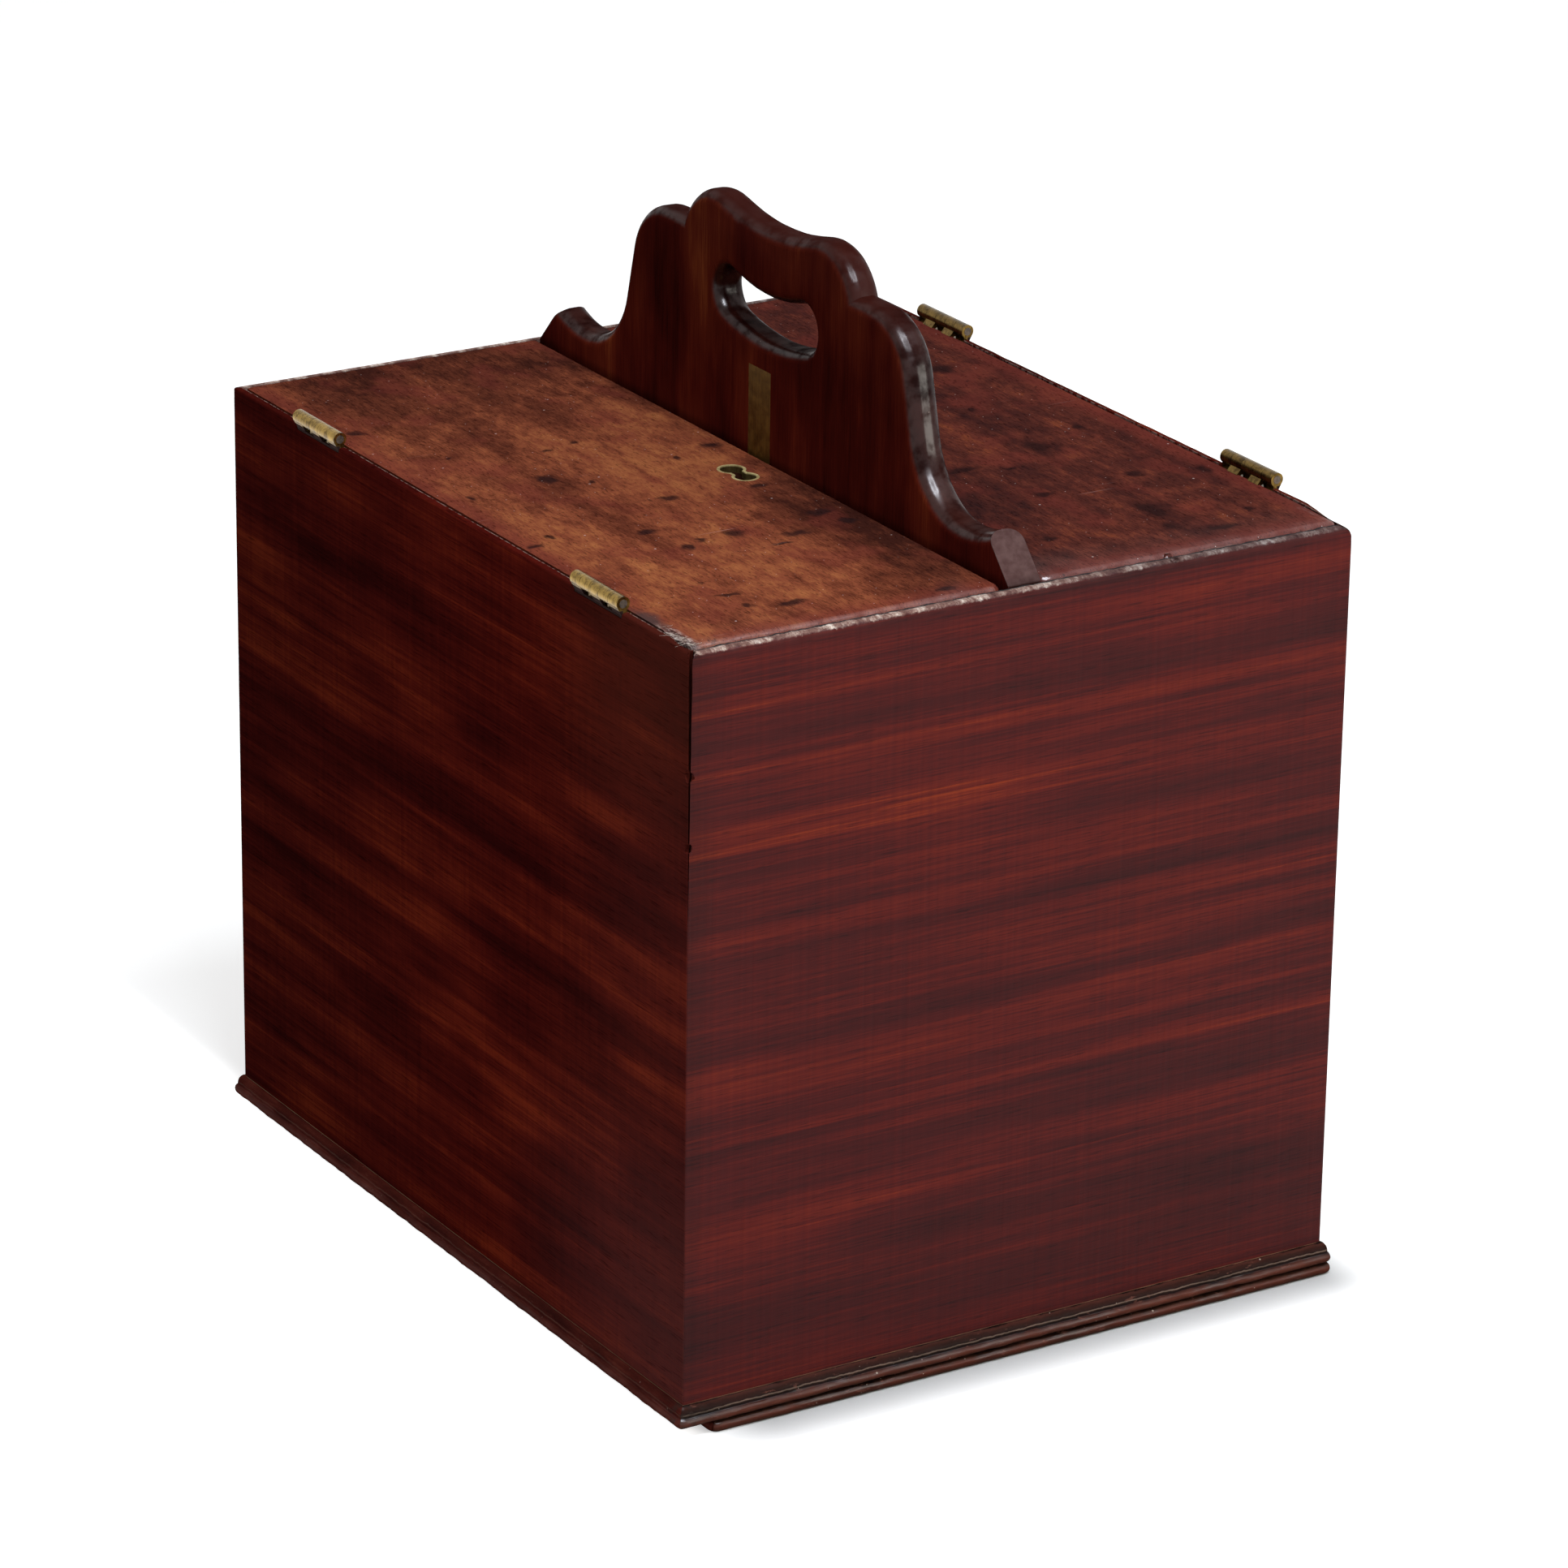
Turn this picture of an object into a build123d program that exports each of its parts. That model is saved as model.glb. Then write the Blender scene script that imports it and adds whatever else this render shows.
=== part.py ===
"""An old mahogany wine caddy with two hinged lids and a shaped carrying handle.

The case is a mitred box of four boards on a bottom board, with a planted base moulding and a
plinth. One tall board runs from front to back through the middle: its lower part divides the
inside, and its shaped top, with a hand hole, is the handle. Loose partitions make the cells for
the bottles. Each lid lies in a rebate, turns on two brass hinges whose barrels stand proud along
the outer edge, and locks into a brass keep plate in the handle board.

X is the width, Y the depth (front at minus Y) and Z is up, from the floor. Millimetres.
"""
import os
from math import cos, hypot, radians, sin

from build123d import *

# Case
case_width = 305.0
case_depth = 372.0
case_height = 312.0  # top of the bottom board to the top of the lids
board_thickness = 12.0
mitre_reach = 20.0  # how far in from the corners the mitres are cut
corner_round = 0.8  # upright outer corners
arris_round = 1.0  # outer top edges
front_arris_round = 1.8  # the front top edge is worn more

# Rebate that the lids lie in
lip_side = 3.0
lip_back = 3.0
lip_front = 4.5
front_lip_drop = 0.4  # the front lip is worn this much below the lids
lid_rest_gap = 0.3  # under a closed lid

# Base
plinth_height = 4.8
plinth_width = 17.0
plinth_left_inset = 15.0  # the left plinth strip stands in from the moulding
moulding_bead_height = 4.8
moulding_ovolo_height = 4.2
bead_projection = 4.5
ovolo_projection = 3.1
ovolo_top_projection = 0.3
ovolo_swell = 0.9  # how far the ovolo bulges past a straight line

# Handle board: heights are above the lids, insets are from the board's ends
handle_thickness = 15.0
nosing_flat = 3.0  # flat left between the two rounded edges
handle_rise = 101.0
hump_spacing = 82.0
hump_radius = 26.5
dip_drop = 5.2
lobe_root = 43.0  # how far the middle lobe runs down into the board, from the crest
shoulder_radius = 29.0
side_straight = 24.7  # straight run between shoulder and valley
side_lean = 14.0  # degrees from upright
valley_inset = 37.0
valley_radius = 33.0
valley_rise = 13.2
ear_rise = 17.3
ear_cut_run = 16.0

# Hand hole, measured at the middle of the board's thickness
hole_end_spacing = 57.0
hole_end_radius = 9.2
hole_end_rise = 61.5
hole_top_rise = 66.3  # lowest point of the hole's wavy top edge
hole_bottom_rise = 48.5
hole_edge_round = 5.5

# Bottle partitions
cells_per_side = 3
partition_thickness = 6.0
partition_height = 190.0
housing_depth = 2.5  # how far a partition enters the boards at its ends
partition_edge_round = 2.4

# Lids
lid_thickness = 10.0
lid_edge_gap = 1.0  # to the front and back lips and to the handle board
lid_hinge_gap = 1.3  # to the side lip
lid_front_round = 3.0
lid_edge_round = 0.8
lid_corner_radius = 5.0  # front corner beside the handle

# Hinges: the barrel stands above the case's outer edge
hinge_length = 36.0
hinge_front_inset = 50.7  # from the front of the case
hinge_back_inset = 57.0  # from the back of the case
knuckle_count = 5
knuckle_gap = 0.2
barrel_radius = 2.9
pin_radius = 1.7
pin_clearance = 0.05
barrel_inset = 0.9  # axis, in from the case's outer face
barrel_rise = 3.5  # axis, above the lids
leaf_thickness = 1.0
gain_depth = 2.2  # recess for the case leaf in the top of the lip
tail_drop = 1.3  # tip of a case knuckle's tail below the lids
leaf_foot_width = 8.0
hinge_screws_per_leaf = 2
hinge_screw_spacing = 19.0
hinge_screw_radius = 1.1
hinge_screw_head_radius = 2.1
hinge_screw_length = 8.0
lid_leaf_height = 9.2

# Lock, keep plate and escutcheon: insets from the handle board's face
key_inset = 19.4  # centre of the keyhole's round head
key_offset = 10.8  # keyhole's head towards the front from the keep plate's middle
key_head_radius = 6.0
key_skirt_radius = 5.7
key_head_spacing = 11.0
key_waist = 7.4
escutcheon_wall = 1.2
escutcheon_depth = 3.0
lock_front_inset = 2.0
lock_length = 32.0
lock_plate_width = 48.0
lock_body_width = 34.0
lock_plate_thickness = 1.5
lock_body_height = 7.0
lock_offset = 9.0  # lock's middle towards the front from the keep plate's middle
key_pocket_depth = 4.0
key_post_radius = 1.5
bolt_width = 9.0
bolt_height = 3.5
bolt_length = 20.0
bolt_throw = 6.0
bolt_clearance = 0.2
bolt_drop = 14.8  # middle of the bolt below the lids
bolt_back_room = 1.0
mortise_end_room = 0.5
lock_screw_radius = 1.3
lock_screw_head_radius = 2.4
lock_screw_length = 7.0
lock_screw_edge = 3.5
keep_offset = 2.4  # middle of the keep plates, towards the back from the handle's middle
keep_width = 17.0
keep_rise = 36.5  # above the lids
keep_drop = 25.0  # below the lids
keep_thickness = 1.5
keep_screw_radius = 1.0
keep_screw_head_radius = 2.0
keep_screw_length = 5.0
keep_screw_edge = 4.0

# Worked out from the sizes above
half_width = case_width / 2
half_depth = case_depth / 2
moulding_height = moulding_bead_height + moulding_ovolo_height
bottom_thickness = moulding_height
case_bottom = plinth_height + bottom_thickness
lid_top = case_bottom + case_height
rebate_floor = lid_top - lid_thickness - lid_rest_gap
inner_half_width = half_width - board_thickness
inner_half_depth = half_depth - board_thickness
handle_half_thickness = handle_thickness / 2
handle_front = -(half_depth - lip_front)
handle_back = half_depth - lip_back
handle_middle = (handle_front + handle_back) / 2
handle_half_length = (handle_back - handle_front) / 2
nosing_radius = (handle_thickness - nosing_flat) / 2
front_hinge_place = -half_depth + hinge_front_inset + hinge_length / 2
back_hinge_place = half_depth - hinge_back_inset - hinge_length / 2
hinge_places = (front_hinge_place, back_hinge_place)
barrel_x = -(half_width - barrel_inset)
barrel_z = lid_top + barrel_rise
lip_inner_x = -(half_width - lip_side)
lid_outer_x = lip_inner_x + lid_hinge_gap
lid_inner_x = -(handle_half_thickness + lid_edge_gap)
key_x = -(handle_half_thickness + key_inset)
keep_middle = handle_middle + keep_offset
key_y = keep_middle - key_offset
lock_front_x = -(handle_half_thickness + lock_front_inset)
lock_back_x = lock_front_x - lock_length
lock_y = keep_middle - lock_offset
lock_plate_top = lid_top - lid_thickness
lock_body_top = lock_plate_top - lock_plate_thickness
bolt_z = lid_top - bolt_drop
mortise_depth = bolt_throw - lock_front_inset + mortise_end_room


def block(x_limits, y_limits, z_limits):
    """A rectangular piece between three pairs of limits."""
    limits = (x_limits, y_limits, z_limits)
    size = [high - low for low, high in limits]
    middle = [(high + low) / 2 for low, high in limits]
    return Pos(*middle) * Box(*size)


def prism(points, z_limits):
    """An upright piece whose plan has the given corners."""
    low, high = z_limits
    return extrude(Pos(0, 0, low) * Polygon(*points, align=None), high - low)


def on_circle(centre, radius, angle):
    """The point of a circle at an angle in degrees."""
    turn = radians(angle)
    return (centre[0] + radius * cos(turn), centre[1] + radius * sin(turn))


def arc(centre, radius, start, end):
    """An arc of a circle between two angles in degrees."""
    angles = (start, (start + end) / 2, end)
    return ThreePointArc(*[on_circle(centre, radius, angle) for angle in angles])


def right_hand(piece):
    """The same piece for the right side of the case."""
    return mirror(piece, about=Plane.YZ)


def screw(radius, head_radius, length):
    """A countersunk screw that points down, with the top of its head at the origin."""
    head_height = head_radius - radius
    outline = Polyline(
        (0, 0), (head_radius, 0), (radius, -head_height), (radius, -length), (0, -length), close=True
    )
    return revolve(make_face(Plane.XZ * outline), Axis.Z)


def mitre_wedge(side, x_limits, y_limits, z_limits, reach):
    """The space that one side of a mitred frame may fill, from its outer rectangle inwards."""
    x_low, x_high = x_limits
    y_low, y_high = y_limits
    outer = [(x_low, y_low), (x_high, y_low), (x_high, y_high), (x_low, y_high)]
    inner = [
        (x_low + reach, y_low + reach),
        (x_high - reach, y_low + reach),
        (x_high - reach, y_high - reach),
        (x_low + reach, y_high - reach),
    ]
    first = ("front", "right", "back", "left").index(side)
    second = (first + 1) % 4
    return prism([outer[first], outer[second], inner[second], inner[first]], z_limits)


def front_wear():
    """What is worn from the top of the front lip: a step down and a rounded arris."""
    top = lid_top - front_lip_drop
    wear = block((-half_width, half_width), (-half_depth, handle_front), (top, lid_top))
    corner = (-half_depth + front_arris_round, top - front_arris_round)
    arris = block((-half_width, half_width), (-half_depth, corner[0]), (corner[1], top))
    rod_end = Plane(origin=(-half_width, *corner), z_dir=(1, 0, 0))
    rod = extrude(rod_end * Circle(front_arris_round), case_width)
    return wear + (arris - rod)


def case_ring():
    """The four walls of the case as one, with the rebate for the lids."""
    walls = block((-half_width, half_width), (-half_depth, half_depth), (case_bottom, lid_top))
    walls = fillet(walls.edges().filter_by(Axis.Z), corner_round)
    walls = fillet(walls.faces().sort_by(Axis.Z)[-1].edges(), arris_round)
    inside = block(
        (-inner_half_width, inner_half_width), (-inner_half_depth, inner_half_depth), (case_bottom, lid_top)
    )
    lid_well = block((lip_inner_x, -lip_inner_x), (handle_front, handle_back), (rebate_floor, lid_top))
    return walls - inside - lid_well - front_wear()


def case_boards():
    """The front, back and side boards, mitred at the corners."""
    ring = case_ring()
    boards = {}
    for side in ("front", "right", "back", "left"):
        wedge = mitre_wedge(
            side,
            (-half_width, half_width),
            (-half_depth, half_depth),
            (case_bottom, lid_top),
            mitre_reach,
        )
        boards[side] = ring & wedge
    handle_housing = block(
        (-handle_half_thickness, handle_half_thickness), (handle_front, handle_back), (case_bottom, lid_top)
    )
    boards["front"] = boards["front"] - handle_housing
    boards["back"] = boards["back"] - handle_housing
    return boards


def left_hinge_gains():
    """What is cut from the left side board for its two hinges."""
    cuts = []
    for place in hinge_places:
        span = (place - hinge_length / 2, place + hinge_length / 2)
        cuts.append(block((-half_width, lip_inner_x), span, (lid_top - gain_depth, lid_top)))
        cuts.append(case_leaf_foot(span))
    return cuts


def handle_outline():
    """The board's outline below the middle lobe, on a plane with the board's middle at 0."""
    end = handle_half_length
    valley = (end - valley_inset, valley_rise + valley_radius)
    lower_end = on_circle(valley, valley_radius, 180 + side_lean)
    lean = radians(side_lean)
    upper_end = (lower_end[0] - side_straight * sin(lean), lower_end[1] + side_straight * cos(lean))
    shoulder = (upper_end[0] - shoulder_radius * cos(lean), upper_end[1] - shoulder_radius * sin(lean))
    shoulder_top = on_circle(shoulder, shoulder_radius, 90)
    valley_bottom = (end - valley_inset, valley_rise)
    ear_top = (end - ear_cut_run, ear_rise)
    run = ear_top[0] - valley_bottom[0]
    rise = ear_top[1] - valley_bottom[1]
    ear_radius = hypot(run, rise) ** 2 / (2 * rise)
    half_rise = valley_bottom[1] + ear_radius - (ear_radius**2 - (run / 2) ** 2) ** 0.5
    floor = case_bottom - lid_top
    half = [
        Line((0, floor), (end, floor)),
        Line((end, floor), (end, 0)),
        Line((end, 0), ear_top),
        ThreePointArc(ear_top, (valley_bottom[0] + run / 2, half_rise), valley_bottom),
        arc(valley, valley_radius, 270, 180 + side_lean),
        Line(lower_end, upper_end),
        arc(shoulder, shoulder_radius, side_lean, 90),
        Line(shoulder_top, (0, shoulder_top[1])),
    ]
    return make_face(half + [mirror(edge, about=Plane.YZ) for edge in half])


def lobe_outline():
    """The raised middle of the handle: two humps with a shallow dip between them."""
    hump = (hump_spacing / 2, handle_rise - hump_radius)
    dip_radius = (hump[0] ** 2 + (hump_radius - dip_drop) ** 2 - hump_radius**2) / (2 * dip_drop)
    dip = (0, handle_rise - dip_drop + dip_radius)
    reach = hypot(hump[0], dip[1] - hump[1])
    meeting = (
        hump[0] - hump_radius * hump[0] / reach,
        hump[1] + hump_radius * (dip[1] - hump[1]) / reach,
    )
    top = on_circle(hump, hump_radius, 45)
    side = (hump[0] + hump_radius, hump[1])
    root = handle_rise - lobe_root
    half = [
        Line((side[0], root), side),
        ThreePointArc(side, top, meeting),
    ]
    across = [
        ThreePointArc(meeting, (0, handle_rise - dip_drop), (-meeting[0], meeting[1])),
        Line((-side[0], root), (side[0], root)),
    ]
    return make_face(half + [mirror(edge, about=Plane.YZ) for edge in half] + across)


def hand_hole_outline():
    """A bean-shaped hole whose top edge follows the humps above it."""
    end = (hole_end_spacing / 2, hole_end_rise)
    top_gap = end[1] - hole_top_rise
    top_radius = (end[0] ** 2 + top_gap**2 - hole_end_radius**2) / (2 * (hole_end_radius + top_gap))
    top = (0, hole_top_rise + top_radius)
    bottom_gap = end[1] - hole_bottom_rise
    bottom_radius = (end[0] ** 2 + bottom_gap**2 - hole_end_radius**2) / (
        2 * (bottom_gap - hole_end_radius)
    )
    bottom = (0, hole_bottom_rise + bottom_radius)
    top_reach = hypot(end[0], top[1] - end[1])
    upper = (
        end[0] - hole_end_radius * end[0] / top_reach,
        end[1] + hole_end_radius * (top[1] - end[1]) / top_reach,
    )
    bottom_reach = hypot(end[0], bottom[1] - end[1])
    lower = (
        end[0] + hole_end_radius * end[0] / bottom_reach,
        end[1] - hole_end_radius * (bottom[1] - end[1]) / bottom_reach,
    )
    tip = (end[0] + hole_end_radius, end[1])
    edges = [
        ThreePointArc(upper, tip, lower),
        ThreePointArc((-upper[0], upper[1]), (-tip[0], tip[1]), (-lower[0], lower[1])),
        ThreePointArc(upper, (0, hole_top_rise), (-upper[0], upper[1])),
        ThreePointArc(lower, (0, hole_bottom_rise), (-lower[0], lower[1])),
    ]
    return make_face(edges)


def through_board(outline, overrun=0.0):
    """An outline made as thick as the handle board, at the board's place."""
    start = -handle_half_thickness - overrun
    plane = Plane(origin=(start, handle_middle, lid_top), x_dir=(0, 1, 0), z_dir=(1, 0, 0))
    return extrude(plane * outline, handle_thickness + 2 * overrun)


def face_edges(board, wanted):
    """Edges that lie in the two faces of the handle board and pass a test on their middle."""
    found = ShapeList()
    for edge in board.edges():
        box = edge.bounding_box()
        flat = box.max.X - box.min.X < 0.001
        on_face = abs(abs(box.max.X) - handle_half_thickness) < 0.001
        if flat and on_face and wanted(edge.center()):
            found.append(edge)
    return found


def handle_board():
    """The divider and handle in one board, with every edge of the handle fully rounded."""
    ear_top = handle_half_length - ear_cut_run
    lower = through_board(handle_outline())
    lower = fillet(
        face_edges(lower, lambda p: p.Z > lid_top and abs(p.Y - handle_middle) < ear_top), nosing_radius
    )
    lobe = through_board(lobe_outline())
    root = lid_top + handle_rise - lobe_root
    lobe = fillet(face_edges(lobe, lambda p: p.Z > root + 0.1), nosing_radius)
    board = lower + lobe
    board = board - through_board(hand_hole_outline(), overrun=1.0)
    hole_half = hole_end_spacing / 2 + hole_end_radius + 0.1
    hole_low = lid_top + hole_bottom_rise - 0.1
    hole_high = lid_top + hole_end_rise + hole_end_radius + 0.1
    rim = face_edges(
        board, lambda p: hole_low < p.Z < hole_high and abs(p.Y - handle_middle) < hole_half
    )
    return fillet(rim, hole_edge_round)


def partition_places():
    """The middle of each partition along the depth."""
    cell = (2 * inner_half_depth - (cells_per_side - 1) * partition_thickness) / cells_per_side
    step = cell + partition_thickness
    first = -inner_half_depth + cell + partition_thickness / 2
    return [first + step * number for number in range(cells_per_side - 1)]


def left_partition(place):
    """One upright partition between the left side board and the handle board."""
    x_limits = (-inner_half_width - housing_depth, -handle_half_thickness + housing_depth)
    y_limits = (place - partition_thickness / 2, place + partition_thickness / 2)
    board = block(x_limits, y_limits, (case_bottom, case_bottom + partition_height))
    return fillet(board.edges().filter_by(Axis.X).group_by(Axis.Z)[-1], partition_edge_round)


def moulding_section():
    """An ovolo over a bead, standing out from the case's face at 0."""
    bead_radius = moulding_bead_height / 2
    bead_centre = (bead_projection - bead_radius, bead_radius)
    foot_run = ovolo_projection - bead_centre[0]
    foot = (ovolo_projection, bead_radius + (bead_radius**2 - foot_run**2) ** 0.5)
    top = (ovolo_top_projection, moulding_height)
    slope = hypot(foot[0] - top[0], foot[1] - top[1])
    swell = (
        (foot[0] + top[0]) / 2 + ovolo_swell * (top[1] - foot[1]) / slope,
        (foot[1] + top[1]) / 2 + ovolo_swell * (foot[0] - top[0]) / slope,
    )
    edges = [
        Line((0, 0), (bead_centre[0], 0)),
        ThreePointArc((bead_centre[0], 0), (bead_projection, bead_radius), foot),
        ThreePointArc(foot, swell, top),
        Line(top, (0, moulding_height)),
        Line((0, moulding_height), (0, 0)),
    ]
    return make_face(edges)


def plinth_section():
    """A flat strip with a rounded outer edge, in line with the bead above it."""
    bead_radius = plinth_height / 2
    front = bead_projection - bead_radius
    back = bead_projection - plinth_width
    edges = [
        Line((back, 0), (front, 0)),
        ThreePointArc((front, 0), (bead_projection, bead_radius), (front, plinth_height)),
        Line((front, plinth_height), (back, plinth_height)),
        Line((back, plinth_height), (back, 0)),
    ]
    return make_face(edges)


def frame_strip(side, section, x_limits, y_limits, z_limits):
    """One mitred strip of a frame; the section's 0 lies on the frame's reference rectangle."""
    outward = {"front": (0, -1, 0), "back": (0, 1, 0), "left": (-1, 0, 0), "right": (1, 0, 0)}[side]
    x_low, x_high = x_limits[0] - bead_projection, x_limits[1] + bead_projection
    y_low, y_high = y_limits[0] - bead_projection, y_limits[1] + bead_projection
    face_x = x_limits[0] if side == "left" else x_limits[1]
    face_y = y_limits[0] if side == "front" else y_limits[1]
    if side in ("front", "back"):
        start = (x_high if side == "front" else x_low, face_y, z_limits[0])
        length = x_high - x_low
    else:
        start = (face_x, y_low if side == "left" else y_high, z_limits[0])
        length = y_high - y_low
    along = Vector(*outward).cross(Vector(0, 0, 1))
    plane = Plane(origin=start, x_dir=outward, z_dir=along)
    strip = extrude(plane * section, length)
    return strip & mitre_wedge(side, (x_low, x_high), (y_low, y_high), z_limits, mitre_reach)


def keyhole_outline(narrowing):
    """The keyhole, seen from above with its round head at 0 and its skirt towards the front."""
    head = Circle(key_head_radius - narrowing)
    skirt = Pos(0, -key_head_spacing) * Circle(key_skirt_radius - narrowing)
    waist = Pos(0, -key_head_spacing / 2) * Rectangle(key_waist - 2 * narrowing, key_head_spacing)
    return head + skirt + waist


def keyhole_prism(narrowing, z_limits):
    """The keyhole as an upright piece at its place in the left lid."""
    low, high = z_limits
    return extrude(Pos(key_x, key_y, low) * keyhole_outline(narrowing), high - low)


def left_lid_blank():
    """The left lid before it is cut for its fittings."""
    front = handle_front + lid_edge_gap
    back = handle_back - lid_edge_gap
    lid = block((lid_outer_x, lid_inner_x), (front, back), (lid_top - lid_thickness, lid_top))
    inner_front = lid.edges().filter_by(Axis.Z).sort_by(Axis.X)[-2:].sort_by(Axis.Y)[0]
    lid = fillet(inner_front, lid_corner_radius)
    front_edge = lid.edges().filter_by(Axis.X).group_by(Axis.Z)[-1].sort_by(Axis.Y)[0]
    return fillet(front_edge, lid_front_round)


def left_lid(cutters):
    """The left lid with its keyhole and the recesses for its hinges and lock."""
    lid = left_lid_blank()
    lid = lid - keyhole_prism(escutcheon_wall, (lid_top - lid_thickness, lid_top))
    lid = lid - keyhole_prism(0, (lid_top - escutcheon_depth, lid_top))
    for cutter in cutters:
        lid = lid - cutter
    return lid


def escutcheon():
    """The brass rim let into the lid round the keyhole."""
    z_limits = (lid_top - escutcheon_depth, lid_top)
    return keyhole_prism(0, z_limits) - keyhole_prism(escutcheon_wall, z_limits)


def barrel_slice(radius, y_limits):
    """A round piece on the left hinge axis."""
    low, high = y_limits
    plane = Plane(origin=(barrel_x, low, barrel_z), x_dir=(1, 0, 0), z_dir=(0, 1, 0))
    return extrude(plane * Circle(radius), high - low)


def cross_section_piece(points, y_limits):
    """A piece with the same X-Z outline all along the depth between two limits."""
    low, high = y_limits
    plane = Plane(origin=(0, high, 0), x_dir=(1, 0, 0), z_dir=(0, -1, 0))
    return extrude(plane * Polygon(*points, align=None), high - low)


def case_leaf_foot(span):
    """The flat foot of a case leaf, let into the rebate's floor."""
    return block(
        (lip_inner_x, lip_inner_x + leaf_foot_width), span, (rebate_floor - leaf_thickness, rebate_floor)
    )


def knuckles(place):
    """The spans of the knuckles along one hinge."""
    pitch = hinge_length / knuckle_count
    start = place - hinge_length / 2
    return [
        (start + pitch * number + knuckle_gap / 2, start + pitch * (number + 1) - knuckle_gap / 2)
        for number in range(knuckle_count)
    ]


def case_leaf(place):
    """A cranked leaf: knuckles, a web over the lip, a flange down the crack and a foot."""
    span = (place - hinge_length / 2, place + hinge_length / 2)
    web_bottom = lid_top - gain_depth
    web_top = web_bottom + leaf_thickness
    web_outer = barrel_x - barrel_inset + leaf_thickness / 4
    flange_inner = lip_inner_x + leaf_thickness
    leaf = block((web_outer, flange_inner), span, (web_bottom, web_top))
    leaf += block((lip_inner_x, flange_inner), span, (rebate_floor - leaf_thickness, web_top))
    leaf += case_leaf_foot(span)
    tail = [
        (barrel_x - 0.85 * barrel_radius, barrel_z - barrel_radius / 2),
        (web_outer, lid_top - tail_drop),
        (barrel_x + barrel_radius / 2, web_top - leaf_thickness / 2),
        (barrel_x + 0.6 * barrel_radius, barrel_z - barrel_radius / 2),
    ]
    for knuckle in knuckles(place)[0::2]:
        leaf += barrel_slice(barrel_radius, knuckle)
        leaf += cross_section_piece(tail, knuckle)
    return leaf - barrel_slice(pin_radius + pin_clearance, span)


def lid_leaf(place):
    """A leaf let into the lid's edge, with roots that rise to its knuckles."""
    span = (place - hinge_length / 2, place + hinge_length / 2)
    inner = lid_outer_x + leaf_thickness
    top = lid_top - leaf_thickness / 2
    leaf = block((lid_outer_x, inner), span, (top - lid_leaf_height, top))
    root = [
        (inner, top - leaf_thickness / 2),
        (inner, lid_top),
        (barrel_x + 0.9 * barrel_radius, barrel_z - barrel_radius / 2),
        (barrel_x, barrel_z - 0.95 * barrel_radius),
        (lid_outer_x, top - leaf_thickness / 2),
    ]
    for knuckle in knuckles(place)[1::2]:
        leaf += barrel_slice(barrel_radius, knuckle)
        leaf += cross_section_piece(root, knuckle)
    return leaf - barrel_slice(pin_radius + pin_clearance, span)


def hinge_pin(place):
    """The pin through one hinge's knuckles."""
    return barrel_slice(pin_radius, (place - hinge_length / 2, place + hinge_length / 2))


def screw_places(place):
    """The screws of one leaf along the depth."""
    offset = (hinge_screws_per_leaf - 1) / 2
    return [place + hinge_screw_spacing * (number - offset) for number in range(hinge_screws_per_leaf)]


def case_leaf_screws():
    """The screws of the left case leaves, down into the side board."""
    body = screw(hinge_screw_radius, hinge_screw_head_radius, hinge_screw_length)
    middle = lip_inner_x + leaf_thickness + (leaf_foot_width - leaf_thickness) / 2
    return [
        Pos(middle, place, rebate_floor) * body for hinge in hinge_places for place in screw_places(hinge)
    ]


def lid_leaf_screws():
    """The screws of the left lid's leaves, into the lid's outer edge."""
    body = Rot(0, -90, 0) * screw(hinge_screw_radius, hinge_screw_head_radius, hinge_screw_length)
    height = lid_top - lid_thickness / 2
    return [
        Pos(lid_outer_x, place, height) * body for hinge in hinge_places for place in screw_places(hinge)
    ]


def bolt_piece(grow, front_x, back_x):
    """A piece with the bolt's section, grown all round for its running clearance."""
    half_bolt = bolt_width / 2 + grow
    half_height = bolt_height / 2 + grow
    return block(
        (back_x, front_x),
        (keep_middle - half_bolt, keep_middle + half_bolt),
        (bolt_z - half_height, bolt_z + half_height),
    )


def lock_bolt():
    """The left bolt, drawn back into its lock."""
    return bolt_piece(0, lock_front_x, lock_front_x - bolt_length)


def lock_screw_places():
    """The corners of the lock's plate that its screws go through."""
    half = lock_plate_width / 2 - lock_screw_edge
    xs = (lock_back_x + lock_screw_edge, lock_front_x - lock_screw_edge)
    return [(x, y) for x in xs for y in (lock_y - half, lock_y + half)]


def lock_screws():
    """The screws that hold the lock under the left lid."""
    body = Rot(180, 0, 0) * screw(lock_screw_radius, lock_screw_head_radius, lock_screw_length)
    return [Pos(x, y, lock_body_top) * body for x, y in lock_screw_places()]


def lock_case():
    """A cupboard lock: a plate on the lid's underside with the lock's body below it."""
    x_limits = (lock_back_x, lock_front_x)
    plate_limits = (lock_y - lock_plate_width / 2, lock_y + lock_plate_width / 2)
    body_limits = (lock_y - lock_body_width / 2, lock_y + lock_body_width / 2)
    lock = block(x_limits, plate_limits, (lock_body_top, lock_plate_top))
    lock += block(x_limits, body_limits, (lock_body_top - lock_body_height, lock_body_top))
    pocket_floor = lock_body_top - key_pocket_depth
    lock -= keyhole_prism(escutcheon_wall, (pocket_floor, lock_plate_top))
    lock += Pos(key_x, key_y, (pocket_floor + lock_plate_top) / 2) * Cylinder(
        key_post_radius, lock_plate_top - pocket_floor
    )
    lock -= bolt_piece(bolt_clearance, lock_front_x, lock_front_x - bolt_length - bolt_back_room)
    for body in lock_screws():
        lock -= body
    return lock


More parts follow.
